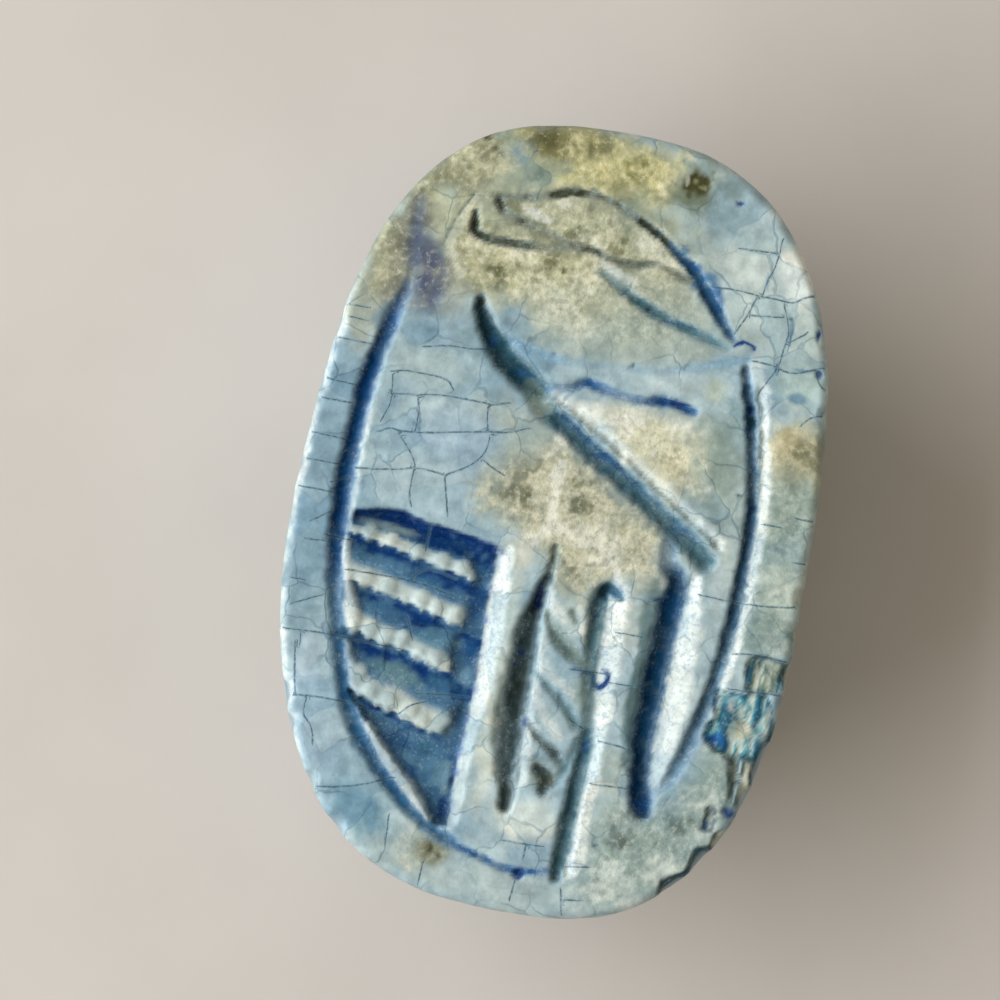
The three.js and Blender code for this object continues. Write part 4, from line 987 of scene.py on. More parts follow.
# ---------------------------------------------------------------- the beetle under the slab
COLLAR_LINE = ((-6.4, .45), (-4.6, .85), (-2.4, 1.15), (0, 1.25), (2.4, 1.15), (4.6, .85),
               (6.4, .45))
HEAD_LINE = ((-4.4, 7.3), (-3.2, 6.45), (-1.6, 6.0), (0, 5.85), (1.6, 6.0), (3.2, 6.45),
             (4.4, 7.3))
WING_LINE = ((0, 1.2), (0, -1.5), (0, -4), (0, -6.5), (0, -8.2), (0, -9.3))
BACK_CUT = 0.25                 # half width and depth of the three lines on the back
FAR = 2.5 * LENGTH              # further than any ray runs inside the amulet
LOWEST_STEPS, EXIT_STEPS = 44, 34        # enough to narrow that to far under a micron


def exit_distance(start, ray, form):
    """How far a ray runs before it leaves a rounded form, or 0 where it misses it. Along the
    ray the form's measure |x|^n + |y|^n + |z|^n first falls, then rises: a threefold search
    finds its lowest place and halving then finds where it passes 1. Only the eyes lie off the
    middle line. They are as tall above their widest ring as below it."""
    cy, half_x, half_y, rise, power, cx, cw = form

    def measure(t):
        """The form's measure at a distance along the ray."""
        x, y, w = (s + t * r for s, r in zip(start, ray))
        tall = np.where(w > cw, rise, TUCK if cx == 0 else rise)
        return (np.abs((x - cx) / half_x) ** power + np.abs((y - cy) / half_y) ** power
                + np.abs((w - cw) / tall) ** power)

    reach = np.maximum(np.sqrt(sum(r * r for r in ray)), 1e-6)
    low, high = np.zeros(reach.shape), FAR / reach
    for _ in range(LOWEST_STEPS):
        a, b = low + (high - low) / 3, high - (high - low) / 3
        rising = measure(a) < measure(b)
        low, high = np.where(rising, low, a), np.where(rising, b, high)
    lowest = (low + high) / 2
    hit = measure(lowest) < 1
    inner, outer = lowest, lowest + FAR / reach
    for _ in range(EXIT_STEPS):
        half = (inner + outer) / 2
        within = measure(half) < 1
        inner, outer = np.where(within, half, inner), np.where(within, outer, half)
    return np.where(hit, inner, 0.0)


# All forms, each with its centre across and the depth of its widest ring.
ALL_FORMS = [form + (0.0, EQUATOR) for form in BODY_FORMS.values()]
ALL_FORMS += [(y, EYE_RADIUS, EYE_RADIUS, EYE_RADIUS, 2.0, x, EYE_DEPTH) for x, y in EYES]


def beetle_exit(start, ray):
    """Where a ray leaves the beetle: the furthest of its forms, run softly into each other."""
    distance = exit_distance(start, ray, ALL_FORMS[0])
    for form in ALL_FORMS[1:]:
        distance = soft_max(distance, exit_distance(start, ray, form), JOIN)
    return distance


def back_cuts(x, y, w):
    """Depth of the lines cut across and along the back, seen from below, and fine wear."""
    total = np.zeros(x.shape)
    for line in (HEAD_LINE, COLLAR_LINE, WING_LINE):
        gap, _, _ = beside(x, y, smooth_path(line, 8), 1.0)
        total = np.maximum(total, BACK_CUT * (1 - np.clip(gap / (1.3 * BACK_CUT), 0, 1) ** 2) ** 2)
    return total * ease(EQUATOR + 0.2, EQUATOR + 1.0, w)


def body_wear(x, y, w):
    """The gentle unevenness of flank and back, the same on both sides of their join."""
    return 0.03 * grain(x, y, w, 1.1, 43)


def waist_run():
    """Angles round the waist, and how far along it each lies from straight across."""
    turn = np.linspace(-math.pi, math.pi, 2881)
    path = oval_radius(turn, HALF_X, HALF_Y) - WAIST_INSET
    steps = np.hypot(np.diff(path * np.cos(turn)), np.diff(path * np.sin(turn)))
    run = np.concatenate([[0], np.cumsum(steps)])
    return turn, run - np.interp(0, turn, run)


WAIST_TURN, WAIST_RUN = waist_run()


def flank_radius(angle, depth):
    """Radius of the flank at a depth: the plain waist, the beetle's forms, and the folded
    legs as round bars that lie on the waist along their paths."""
    waist = oval_radius(angle, HALF_X, HALF_Y) - WAIST_INSET
    ray = (np.cos(angle), np.sin(angle), np.zeros(angle.shape))
    start = (0.0, 0.0, depth)
    drawn_in = waist - WAIST_TUCK * ease(EQUATOR - 0.2, BAND_END, depth)
    radius = soft_max(drawn_in, beetle_exit(start, ray), JOIN)
    for mirrored in (False, True):
        turned = np.angle(np.exp(1j * ((math.pi - angle) if mirrored else angle)))
        along = np.interp(turned, WAIST_TURN, WAIST_RUN)
        for leg in LEGS:
            path = [(np.interp(math.radians(a), WAIST_TURN, WAIST_RUN), d,
                     LEG_BURIED if i == 0 else 0.0) for i, (a, d) in enumerate(leg)]
            gap, _, (buried,) = beside(along, depth, smooth_path(path, 4), LEG_RADIUS)
            bar = LEG_RADIUS * np.maximum(1 - (gap / LEG_RADIUS) ** 2, 0) ** 0.7
            bar = waist - buried + bar * (1 - ease(LEG_FADE, BAND_END, depth))
            bar = np.where((gap < LEG_RADIUS) & (np.abs(turned) < LEG_SIDE), bar, 0)
            radius = soft_max(radius, bar, JOIN * 0.6)
    return radius


# ---------------------------------------------------------------- the mesh
# Rectangles of the texture, in 1024ths: low u, low v, high u, high v.
FACE_PATCH = (4, 4, 808, 536)
RING_PATCH = (4, 552, 1020, 650)
BACK_PATCH = (4, 664, 554, 1020)
BORE_PATCH = (566, 664, 1016, 760)
FACE_MARGIN = 0.2               # spare millimetres round the face in its rectangle
STRIP_TOP = 1.03                # where the sewn strip ends above the rings' rectangle

WALL_STEPS = 9                  # rings down the plain part of the slab's wall
UNDERSIDE = (0.2, 0.4, 0.6, 0.8)         # rings between the slab's foot and the flank
MOUTHS = (math.pi / 2, -math.pi / 2)     # directions of the hole's mouths, head then tail
BORE_STEPS = np.concatenate([[0.004, 0.012, 0.025], np.linspace(0.05, 0.95, 19),
                             [0.975, 0.988, 0.996]])
INNER = (slice(1, -1), slice(1, -1))     # a grid without its border


def put(x, y, depth):
    """Millimetres from the oval's centre and below the face, as a place in the row's frame."""
    return np.stack([(x - MIDDLE[0]), (y - MIDDLE[1]),
                     np.maximum(HEIGHT - depth, 0)], -1) * MM


def rect(patch, u, v):
    """Places a 0 to 1 square in one of the texture's rectangles."""
    low_u, low_v, high_u, high_v = patch
    return np.stack([mix(low_u, high_u, u), mix(low_v, high_v, v)], -1) / 1024


def sheet_faces(index, uv, flip=False):
    """Quads of a grid of vertex numbers, with their texture places."""
    corners = [(slice(None, -1), slice(None, -1)), (slice(None, -1), slice(1, None)),
               (slice(1, None), slice(1, None)), (slice(1, None), slice(None, -1))]
    corners = corners[::-1] if flip else corners
    return (np.stack([index[c].ravel() for c in corners], 1),
            np.stack([uv[c].reshape(-1, 2) for c in corners], 1))


def relief(field, reach):
    """How deep each place of a closed band lies in a crease, and how high on a ridge, against
    its neighbours at a reach of some cells."""
    beside_it = (np.roll(field, reach, 1) + np.roll(field, -reach, 1)) / 2
    tall = np.pad(field, ((reach, reach), (0, 0)), "edge")
    over_it = (tall[2 * reach:] + tall[:-2 * reach]) / 2
    return (ease(0.015, 0.13, np.maximum(beside_it, over_it) - field),
            ease(0.01, 0.1, field - np.minimum(beside_it, over_it)))


def engraved_face():
    """The worked face on a bent grid, out to the 45 degree line of the slab's rounded edge. Its
    middle stands a little proud of its worn rim."""
    dx, dy = disc_grid(COLUMNS, ROWS)
    face = engrave(*disc_to_oval(dx, dy, EDGE_ROUND * (1 - math.sin(EDGE_BREAK))))
    face.angle = disc_angle(dx, dy)
    from_edge = np.maximum(edge_radius(face.angle) - np.hypot(face.x, face.y), 0)
    slack = np.clip(EDGE_ROUND - from_edge, 0, EDGE_ROUND)
    rounded = EDGE_ROUND - np.sqrt(EDGE_ROUND**2 - slack**2)
    worn = 0.03 * np.exp(-from_edge / 0.5)
    face.depth = np.maximum(face.depth - 0.02 + worn, 0) + rounded
    return face


def slab_wall(angle, border):
    """Radius and depth of the rings of the slab's wall, from the face's border to the foot.
    Where the edge is chipped the rings start lower."""
    nominal = EDGE_ROUND * (1 - math.cos(EDGE_BREAK))
    rings = []

    def ring(step_in, depth):
        """One ring, a little uneven below the rounded edge."""
        lowered = border + (depth - nominal) * (SLAB - border) / (SLAB - nominal)
        radius = edge_radius(angle, depth) - step_in
        radius = radius + 0.02 * grain(radius * np.cos(angle), radius * np.sin(angle),
                                       lowered, 0.6, 41, 2) * ease(0.3, 0.6, depth)
        rings.append((radius, lowered))

    for a in np.radians((60, 75, 90)):
        ring(EDGE_ROUND * (1 - np.sin(a)), EDGE_ROUND * (1 - np.cos(a)))
    for depth in np.linspace(EDGE_ROUND, SLAB - FOOT_ROUND, WALL_STEPS)[1:]:
        ring(0.0, depth)
    for a in np.radians((30, 60, 90)):
        ring(FOOT_ROUND * (1 - np.cos(a)), SLAB - FOOT_ROUND + FOOT_ROUND * np.sin(a))
    return rings


def bend_round_mouths(angle, depth, middles):
    """Draws the flank's rows and columns into circles round the hole's two mouths. The border
    of each window becomes the mouth, and WINDOW_REACH cells out they run straight again."""
    row, column = np.indices(depth.shape)
    reach = LENGTH / 2 - WAIST_INSET + 0.25
    mouth = HOLE_RADIUS + HOLE_FLARE
    for middle, turn in zip(middles, MOUTHS):
        cells = np.maximum(np.abs(column - middle), np.abs(row - STEPS_TO_HOLE))
        near = cells <= WINDOW_REACH
        away = (angle - turn) * reach
        drop = depth - HOLE_DEPTH
        size = np.maximum(np.hypot(away, drop), 1e-6)
        outer = size * WINDOW_REACH / np.maximum(cells, 1)
        t = np.clip((cells - WINDOW) / (WINDOW_REACH - WINDOW), 0, 1)
        wanted = mouth + (outer - mouth) * t
        scale = np.where(near & (cells >= WINDOW), wanted / size, 1)
        angle = np.where(near, turn + away * scale / reach, angle)
        depth = np.where(near, HOLE_DEPTH + drop * scale, depth)
    return angle, depth


def flank_band(angle, middles):
    """Angle, radius and depth of the flank's places from the slab down to the back, and how far
    each lies in a crease or on a ridge. Both looks pass into the back's over the last rows."""
    row = np.arange(STEPS_TO_HOLE + ROWS_UNDER_HOLE + 1)
    depth = np.repeat((SLAB + ROW_STEP * row)[:, None], angle.size, 1)
    turned, depth = bend_round_mouths(np.broadcast_to(angle, depth.shape), depth, middles)
    radius = flank_radius(turned, depth)
    for _ in range(3):          # the last row stays, so that the back joins without a lip
        radius[:-1] = calmed(radius, closed=True)[:-1]
    on_band = (radius * np.cos(turned), radius * np.sin(turned), depth)
    lines = back_cuts(*on_band)
    radius = radius + body_wear(*on_band) - lines
    crease, ridge = relief(radius, 4)
    joining = ease(len(row) - 10, len(row) - 1, row)[:, None]
    return (turned, radius, depth, mix(crease, ease(0.03, 0.2, lines), joining),
            ridge * (1 - joining))


def sewn_strip(border, ring):
    """Triangles between the face's border and the first ring, which has half as many vertices,
    with their texture places."""
    border = np.append(border, border[0])
    a, b, c = border[:-1:2], border[1::2], border[2::2]
    low, high = ring[:-1], ring[1:]
    count = low.size
    at = np.arange(count) / count
    half, end = at + 0.5 / count, at + 1 / count
    top, foot = np.full(count, STRIP_TOP), np.ones(count)
    triangles = np.vstack([np.stack([a, low, b], 1), np.stack([b, low, high], 1),
                           np.stack([b, high, c], 1)])
    maps = [np.stack([rect(RING_PATCH, u, v) for u, v in corners], 1)
            for corners in (((at, top), (at, foot), (half, top)),
                            ((half, top), (at, foot), (end, foot)),
                            ((half, top), (end, foot), (end, top)))]
    return triangles, np.vstack(maps)


def back_dome(bx, by):
    """The back inside its border: directions over a half ball, stretched to the beetle's
    proportions and run out to its surface. Gives x, y, depth and how far each place is cut
    in."""
    size = np.hypot(bx, by)
    tilt = size * math.pi / 2
    lean = np.where(size > 1e-9, np.sin(tilt) / np.maximum(size, 1e-9), math.pi / 2)
    ray = (bx * lean * HALF_X, by * lean * HALF_Y, np.cos(tilt) * (HEIGHT - BAND_END))
    length = np.sqrt(sum(part * part for part in ray))
    ray = tuple((part / length)[INNER] for part in ray)
    start = (0.0, 0.0, BAND_END)
    stretch = beetle_exit(start, ray)
    uncut = tuple(s + stretch * r for s, r in zip(start, ray))
    cut = back_cuts(*uncut) - body_wear(*uncut)
    x, y, depth = (s + (stretch - cut) * r for s, r in zip(start, ray))
    return x, y, np.minimum(depth, HEIGHT), cut


def round_the_hole(points):
    """Direction of each place seen from the threading hole's axis."""
    return np.arctan2(points[:, 2] - (HEIGHT - HOLE_DEPTH) * MM,
                      points[:, 0] + MIDDLE[0] * MM)


def bore_wall(head, tail):
    """Rings of the threading hole between its two mouths, which the thread has worn wider."""
    steps = BORE_STEPS[:, None]
    around = round_the_hole(head)
    radius = HOLE_RADIUS + HOLE_FLARE * np.exp(-np.minimum(steps, 1 - steps) / 0.02)
    return np.stack([(radius * np.cos(around) - MIDDLE[0]) * MM,
                     mix(head[:, 1], tail[:, 1], steps),
                     (HEIGHT - HOLE_DEPTH + radius * np.sin(around)) * MM], -1)


def surface_looks(points, face, lodged, rubbed):
    """The material's fields and the tone at every place. The face has its own. Off the face
    dull earth lies in patches and in the creases, and the ridges are rubbed to pale stone."""
    signed, closest = crack_field(face.x, face.y)
    cloud = grain(*(points.T / MM), 2.6, 51, 4)
    earthy = np.clip(0.15 + 0.45 * ease(0.2, 0.9, cloud) + 0.35 * lodged, 0, 1)
    uncracked = np.ones(cloud.shape)
    everywhere = {"crust": (face.crust, earthy), "bare": (face.bare, 0.1 + 0.5 * rubbed),
                  "pool": (face.pool, 0.8 * lodged), "crack_side": (signed, uncracked),
                  "crack_near": (closest, uncracked)}
    fields = {}
    for name, (on_face, elsewhere) in everywhere.items():
        fields[name] = elsewhere.astype(np.float32)
        fields[name][:face.x.size] = on_face.ravel()
    colour = colour_of("clear") * np.ones((len(points), 3))
    colour = wash(colour, colour_of("back cloud"), 0.6 * ease(-0.7, 0.3, -cloud))
    colour = wash(colour, colour_of("back earth"), 0.6 * ease(0.2, 0.9, cloud))
    colour = wash(colour, colour_of("bare"), 0.55 * rubbed)
    colour = wash(colour, colour_of("earth"), 0.75 * lodged)
    colour[:face.x.size] = face.tone.reshape(-1, 3)
    return fields, colour


def scarab_mesh():
    """The amulet as one closed surface: the engraved face as a bent grid, rings down the slab's
    wall, underside and flank, a dome for the back, and the threading hole between the flank's
    two windows."""
    face = engraved_face()
    face_index = np.arange(face.x.size).reshape(face.x.shape)
    across = (face.x + WIDTH / 2 + FACE_MARGIN) / (WIDTH + 2 * FACE_MARGIN)
    along = (face.y + LENGTH / 2 + FACE_MARGIN) / (LENGTH + 2 * FACE_MARGIN)
    sheets = [sheet_faces(face_index, rect(FACE_PATCH, along, across))]

    # rings: slab wall, the underside, then the flank
    angle = rim_of(face.angle)[::2]
    middles = [int(np.argmin(np.abs(angle - turn))) for turn in MOUTHS]
    rings = slab_wall(angle, rim_of(face.depth)[::2])
    slab_radius = rings[-1][0]
    turned, radius, depth, crease, ridge = flank_band(angle, middles)
    rings += [(mix(slab_radius, radius[0], share), np.full(angle.size, SLAB))
              for share in UNDERSIDE]
    wall_rows = len(rings)
    radius = np.vstack([r for r, _ in rings] + [radius])
    depth = np.vstack([d for _, d in rings] + [depth])
    turned = np.vstack([np.broadcast_to(angle, (wall_rows, angle.size)), turned])
    ring_index = face.x.size + np.arange(radius.size).reshape(radius.shape)
    places = [put(face.x, face.y, face.depth).reshape(-1, 3),
              put(radius * np.cos(turned), radius * np.sin(turned), depth).reshape(-1, 3)]

    wrapped = np.hstack([ring_index, ring_index[:, :1]])
    u, v = np.meshgrid(np.arange(angle.size + 1) / angle.size,
                       np.arange(len(radius)) / len(radius))
    quads, maps = sheet_faces(wrapped[::-1], rect(RING_PATCH, u, 1 - v)[::-1])
    solid = np.ones((len(radius) - 1, angle.size), bool)
    centre = wall_rows + STEPS_TO_HOLE
    for middle in middles:
        solid[centre - WINDOW:centre + WINDOW, middle - WINDOW:middle + WINDOW] = False
    solid = solid[::-1].ravel()
    sheets.append((quads[solid], maps[solid]))
    sewn, sewn_maps = sewn_strip(rim_of(face_index), wrapped[0])

    # the back, whose border is the flank's last ring
    bx, by = disc_grid(COLUMNS // 2, ROWS // 2)
    x, y, depth, cut = back_dome(bx, by)
    back_index = np.zeros(bx.shape, int)
    back_index[INNER] = face.x.size + radius.size + np.arange(x.size).reshape(x.shape)
    set_rim(back_index, ring_index[-1])
    places.append(put(x, y, depth).reshape(-1, 3))
    swell = 0.5 * (0.75 + 0.25 * np.hypot(bx, by))
    sheets.append(sheet_faces(back_index, rect(BACK_PATCH, 0.5 + swell * by, 0.5 + swell * bx),
                              flip=True))

    # the threading hole, from the window at the head to the one at the tail
    points = np.vstack(places)
    ends = []
    for middle in middles:
        ring = rim_of(ring_index[centre - WINDOW:centre + WINDOW + 1,
                                 middle - WINDOW:middle + WINDOW + 1])
        ends.append(ring[np.argsort(round_the_hole(points[ring]))])
    bore = bore_wall(points[ends[0]], points[ends[1]])
    bore_index = len(points) + np.arange(bore[..., 0].size).reshape(bore.shape[:2])
    points = np.vstack([points, bore.reshape(-1, 3)])
    tube = np.vstack([ends[0], bore_index, ends[1]])
    tube = np.hstack([tube, tube[:, :1]])
    u, v = np.meshgrid(np.linspace(0, 1, tube.shape[1]), np.linspace(0, 1, tube.shape[0]))
    sheets.append(sheet_faces(tube, rect(BORE_PATCH, u, v), flip=True))

    lodged, rubbed = np.zeros(len(points)), np.zeros(len(points))
    lodged[ring_index[wall_rows:]], rubbed[ring_index[wall_rows:]] = crease, ridge
    lodged[back_index[INNER]] = ease(0.03, 0.2, cut)
    fields, colour = surface_looks(points, face, lodged, rubbed)
    wall = ring_index[:wall_rows]
    fade = ease(0, 6, np.arange(wall_rows))[:, None, None]
    colour[wall] = mix(rim_of(face.tone)[::2], colour[wall], fade)
    colour[bore_index] = colour_of("hole dirt")

    quads = np.vstack([quads for quads, _ in sheets])
    maps = np.vstack([maps.reshape(-1, 2) for _, maps in sheets] + [sewn_maps.reshape(-1, 2)])
    used, corners = np.unique(np.concatenate([quads.ravel(), sewn.ravel()]),
                              return_inverse=True)
    starts = np.concatenate([4 * np.arange(len(quads)), quads.size + 3 * np.arange(len(sewn))])
    fields = {name: field[used] for name, field in fields.items()}
    return points[used], corners, starts, maps, fields, colour[used]


def build_scarab():
    """Turns the arrays into the one mesh object of the amulet."""
    points, corners, starts, maps, fields, colour = scarab_mesh()
    mesh = bpy.data.meshes.new("scarab_glazed")
    mesh.vertices.add(len(points))
    mesh.vertices.foreach_set("co", points.astype(np.float32).ravel())
    mesh.loops.add(len(corners))
    mesh.loops.foreach_set("vertex_index", corners.astype(np.int32))
    mesh.polygons.add(len(starts))
    mesh.polygons.foreach_set("loop_start", starts.astype(np.int32))
    mesh.update(calc_edges=True)
    mesh.validate()
    layer = mesh.uv_layers.new(name="OFBake")
    layer.data.foreach_set("uv", maps.astype(np.float32).ravel())
    for name, field in fields.items():
        mesh.attributes.new(name, "FLOAT", "POINT").data.foreach_set("value", field)
    tint = mesh.attributes.new("tint", "FLOAT_COLOR", "POINT")
    tint.data.foreach_set("color", np.c_[colour, np.ones(len(colour))].astype(np.float32).ravel())
    mesh.shade_smooth()
    piece = bpy.data.objects.new("scarab_glazed", mesh)
    bpy.context.scene.collection.objects.link(piece)
    return piece


# ---------------------------------------------------------------- materials
def node(tree, kind, feeds, **settings):
    """Adds one node with its settings and feeds its sockets, by name or number, each with a
    value or with another node's output."""
    made = tree.nodes.new(kind)
    for key, value in settings.items():
        setattr(made, key, value)
    for key, value in feeds.items():
        if isinstance(value, bpy.types.NodeSocket):
            tree.links.new(value, made.inputs[key])
        else:
            made.inputs[key].default_value = value
    return made


def rgba(code):
    """A hex code as the four values that a colour socket takes."""
    return (*linear(code), 1.0)


def blend(tree, share, a, b, mode="MIX"):
    """Mixes two colours."""
    return node(tree, "ShaderNodeMix", {0: share, 6: a, 7: b}, data_type="RGBA",
                blend_type=mode).outputs[2]


def between(tree, value, low, high, to_low=0.0, to_high=1.0):
    """Maps low..high to a new range with a smooth S, held at its ends."""
    return node(tree, "ShaderNodeMapRange", {0: value, 1: low, 2: high, 3: to_low, 4: to_high},
                interpolation_type="SMOOTHSTEP").outputs[0]


def sums(tree, operation, *values):
    """One step of arithmetic on numbers or outputs."""
    return node(tree, "ShaderNodeMath", dict(enumerate(values)), operation=operation).outputs[0]


def new_material(name):
    """An empty material and its node tree."""
    material = bpy.data.materials.new(name)
    material.use_nodes = True
    tree = material.node_tree
    tree.nodes.clear()
    return material, tree


def glazed_steatite():
    """Soft stone carved, then coated with an alkaline glaze and fired. The glaze lies thin and
    pale on the flats, runs deep blue into the cuts, is netted with fine cracks, has worn to
    the white stone on the ridges, and carries the dull olive crust of the ground."""
    material, tree = new_material("glazed_steatite")
    place = node(tree, "ShaderNodeTexCoord", {}).outputs["Object"]

    def field(name, output="Fac"):
        """One of the mesh's own fields."""
        return node(tree, "ShaderNodeAttribute", {}, attribute_name=name).outputs[output]

    tint = field("tint", "Color")
    crust, bare, pool = field("crust"), field("bare"), field("pool")
    side, near = field("crack_side"), field("crack_near")

    def cloud(cell_mm, detail=3.0, rough=0.55, vector=place):
        """Noise whose blotches are about one cell across."""
        return node(tree, "ShaderNodeTexNoise", {"Vector": vector, "Scale": 1 / (cell_mm * MM),
                                                 "Detail": detail, "Roughness": rough})

    soft = cloud(1.6).outputs[0]
    mottle = cloud(0.42, 4.0, 0.6).outputs[0]
    speck = cloud(0.11, 3.0, 0.65).outputs[0]

    # the net of fired cracks: cells of about 1.2 mm whose walls are 0.04 mm wide
    bend = node(tree, "ShaderNodeVectorMath", {0: cloud(0.7, 2.0).outputs[1],
                                               1: (0.5, 0.5, 0.5)}, operation="SUBTRACT")
    bend = node(tree, "ShaderNodeVectorMath", {0: bend.outputs[0], "Scale": 0.5 * MM},
                operation="SCALE").outputs[0]
    bent = node(tree, "ShaderNodeVectorMath", {0: place, 1: bend}, operation="ADD").outputs[0]
    net = node(tree, "ShaderNodeTexVoronoi", {"Vector": bent, "Scale": 1 / (1.25 * MM),
                                              "Randomness": 0.9},
               feature="DISTANCE_TO_EDGE").outputs["Distance"]
    net = between(tree, net, 0.008, 0.028, 1.0, 0.0)
    clean = sums(tree, "SUBTRACT", 1.0, crust)
    net = sums(tree, "MULTIPLY", net, sums(tree, "MULTIPLY", clean,
                                           between(tree, soft, 0.4, 0.6, 0.08, 0.5)))

    # the cracks laid one by one, drawn where the signed distance passes zero
    wander = sums(tree, "MULTIPLY", sums(tree, "SUBTRACT", cloud(0.3, 2.0).outputs[0], 0.5), 0.05)
    across = sums(tree, "ABSOLUTE", sums(tree, "ADD", side, wander))
    line = between(tree, across, 0.006, between(tree, mottle, 0.35, 0.65, 0.02, 0.042), 1.0, 0.0)
    line = sums(tree, "MULTIPLY", line, between(tree, near, 0.055, 0.09, 1.0, 0.0))
    strength = between(tree, speck, 0.35, 0.6, 0.3, 0.85)
    line = sums(tree, "MULTIPLY", line, strength)

    # each cell between cracks took the glaze a little differently
    cell = node(tree, "ShaderNodeTexVoronoi", {"Vector": bent, "Scale": 1 / (1.25 * MM),
                                               "Randomness": 0.9}).outputs["Color"]
    cell = node(tree, "ShaderNodeSeparateColor", {0: cell}).outputs[0]
    colour = blend(tree, sums(tree, "MULTIPLY", clean, between(tree, cell, 0.2, 1.0)),
                   tint, blend(tree, 1.0, tint, rgba("e4eff8"), "MULTIPLY"))
    colour = blend(tree, 1.0, colour, blend(tree, between(tree, mottle, 0.3, 0.7),
                                            rgba("d9dde0"), rgba("ffffff")), "MULTIPLY")
    # dull grains in the crust, blue pinholes on bare stone and painted highlights, pale grains
    # where glaze wore thin
    grains = cloud(0.17, 3.0, 0.6).outputs[0]
    colour = blend(tree, sums(tree, "MULTIPLY", crust, between(tree, grains, 0.5, 0.36, 0, 0.3)),
                   colour, rgba("55563a"))
    colour = blend(tree, sums(tree, "MULTIPLY", crust, between(tree, grains, 0.52, 0.68, 0, 0.35)),
                   colour, rgba("efecd6"))
    colour = blend(tree, sums(tree, "MULTIPLY", bare, between(tree, speck, 0.5, 0.62, 0, 0.55)),
                   colour, rgba("7499b4"))
    # the glaze ends raggedly up the walls of a cut and is deepest in the middle
    ragged = sums(tree, "ADD", pool, sums(tree, "MULTIPLY",
                                          sums(tree, "SUBTRACT", speck, 0.5), 1.1))
    colour = blend(tree, between(tree, ragged, 0.42, 0.58, 0, 0.5), colour,
                   blend(tree, 1.0, colour, rgba("a3b9c6"), "MULTIPLY"))
    worn = sums(tree, "MULTIPLY", between(tree, pool, 0.02, 0.3),
                between(tree, pool, 0.95, 0.3, 0.12, 1.0))
    colour = blend(tree, sums(tree, "MULTIPLY", worn, between(tree, speck, 0.5, 0.7, 0, 0.3)),
                   colour, rgba("cbdbe0"))
    colour = blend(tree, sums(tree, "MULTIPLY", net, 0.8), colour,
                   blend(tree, 1.0, colour, rgba("7297ae"), "MULTIPLY"))
    halo = between(tree, across, 0.01, 0.08, 0.25, 0.0)
    halo = sums(tree, "MULTIPLY", halo, between(tree, near, 0.055, 0.09, 1.0, 0.0))
    colour = blend(tree, halo, colour, rgba("7397ab"))
    colour = blend(tree, line, colour, rgba("36525f"))

    lump = sums(tree, "ADD", sums(tree, "MULTIPLY", mottle, 0.5),
                sums(tree, "MULTIPLY", speck, between(tree, crust, 0.0, 1.0, 0.25, 0.9)))
    lump = sums(tree, "SUBTRACT", lump, sums(tree, "MULTIPLY",
                                             sums(tree, "MAXIMUM", line, net), 0.45))
    bump = node(tree, "ShaderNodeBump", {"Height": lump, "Strength": 0.5,
                                         "Distance": 0.05 * MM}).outputs[0]
    roughness = between(tree, crust, 0.0, 0.7, 0.45, 0.85)
    roughness = sums(tree, "ADD", roughness, sums(tree, "MULTIPLY",
                                                  sums(tree, "SUBTRACT", mottle, 0.5), 0.25))
    shader = node(tree, "ShaderNodeBsdfPrincipled",
                  {"Base Color": colour, "Roughness": roughness, "Normal": bump,
                   "IOR": 1.5, "Specular IOR Level": between(tree, pool, 0.2, 0.9, 0.22, 0.08)})
    node(tree, "ShaderNodeOutputMaterial", {"Surface": shader.outputs[0]})
    return material


def pale_table():
    """A matt pale warm grey card, a little uneven in tone, so that the piece's shade reads."""
    material, tree = new_material("pale_table")
    place = node(tree, "ShaderNodeTexCoord", {}).outputs["Object"]
    cloud = node(tree, "ShaderNodeTexNoise", {"Vector": place, "Scale": 1 / (9 * MM),
                                              "Detail": 4.0}).outputs[0]
    colour = blend(tree, between(tree, cloud, 0.3, 0.7), rgba("c7c0ba"), rgba("cdc6c0"))
    shader = node(tree, "ShaderNodeBsdfPrincipled", {"Base Color": colour, "Roughness": 0.9,
                                                     "Specular IOR Level": 0.2})
    node(tree, "ShaderNodeOutputMaterial", {"Surface": shader.outputs[0]})
    return material


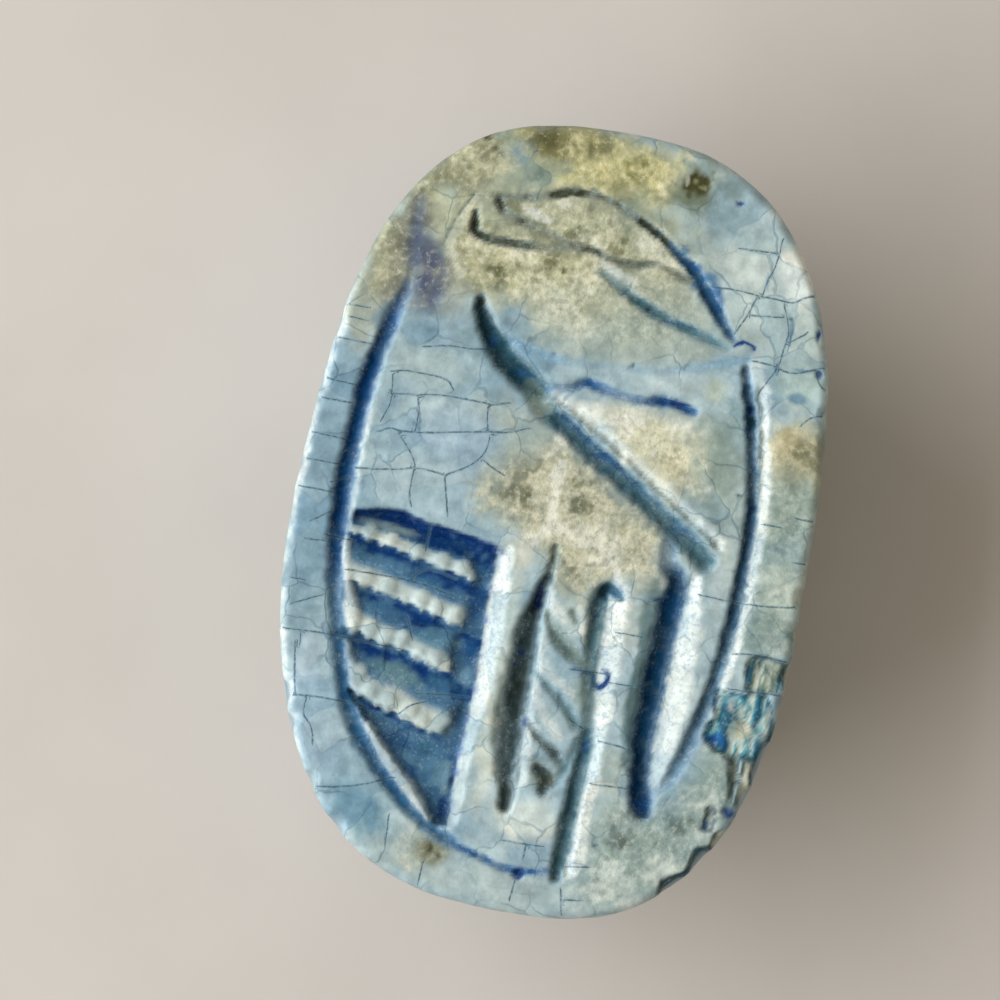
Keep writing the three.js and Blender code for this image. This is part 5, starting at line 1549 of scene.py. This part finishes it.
# ---------------------------------------------------------------- setting
def pale_floor():
    """A large plain table under the amulet."""
    size = 1.5
    mesh = bpy.data.meshes.new("table_top")
    mesh.from_pydata([(-size, -size, 0), (size, -size, 0), (size, size, 0), (-size, size, 0)],
                     [], [(0, 1, 2, 3)])
    mesh.update()
    floor = bpy.data.objects.new("table_top", mesh)
    bpy.context.scene.collection.objects.link(floor)
    floor.data.materials.append(pale_table())


VIEW_TURN = math.radians(9.35)  # the amulet lies turned this much against the view
VIEW_HEIGHT = 175.7             # from the engraved face up to the lens
VIEW_AT = (-1.478, 0.334)


def straight_down_camera():
    """A long lens that looks straight down on the engraved face."""
    camera = bpy.data.objects.new("camera", bpy.data.cameras.new("camera"))
    camera.data.lens, camera.data.sensor_width = 250, 36
    camera.data.clip_start = 0.01
    camera.location = put(np.array(VIEW_AT[0]), np.array(VIEW_AT[1]), -VIEW_HEIGHT)
    camera.rotation_euler = (0, 0, VIEW_TURN)
    bpy.context.scene.collection.objects.link(camera)
    bpy.context.scene.camera = camera


def studio_light():
    """One soft, slightly cool window from the left, a little above level with the piece's
    head, and a warm dim room around."""
    bearing, height, distance = VIEW_TURN + math.radians(180 - 6), math.radians(36), 0.32
    way = np.array([math.cos(height) * math.cos(bearing), math.cos(height) * math.sin(bearing),
                    math.sin(height)])
    data = bpy.data.lights.new("soft_window", "AREA")
    data.shape, data.size, data.size_y = "RECTANGLE", 0.5, 0.3
    data.energy = 1.86
    data.color = (0.93, 0.965, 1.0)
    lamp = bpy.data.objects.new("soft_window", data)
    lamp.location = way * distance
    lamp.rotation_euler = (math.pi / 2 - height, 0, bearing + math.pi / 2)
    bpy.context.scene.collection.objects.link(lamp)
    world = bpy.data.worlds.new("room")
    world.use_nodes = True
    back = world.node_tree.nodes["Background"]
    back.inputs[0].default_value = (1.0, 0.91, 0.75, 1.0)
    back.inputs[1].default_value = 0.4
    bpy.context.scene.world = world


bpy.context.scene.view_settings.view_transform = "Standard"
scarab = build_scarab()
scarab.data.materials.append(glazed_steatite())
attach(scarab, "root")
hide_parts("scarab")
pale_floor()
straight_down_camera()
studio_light()
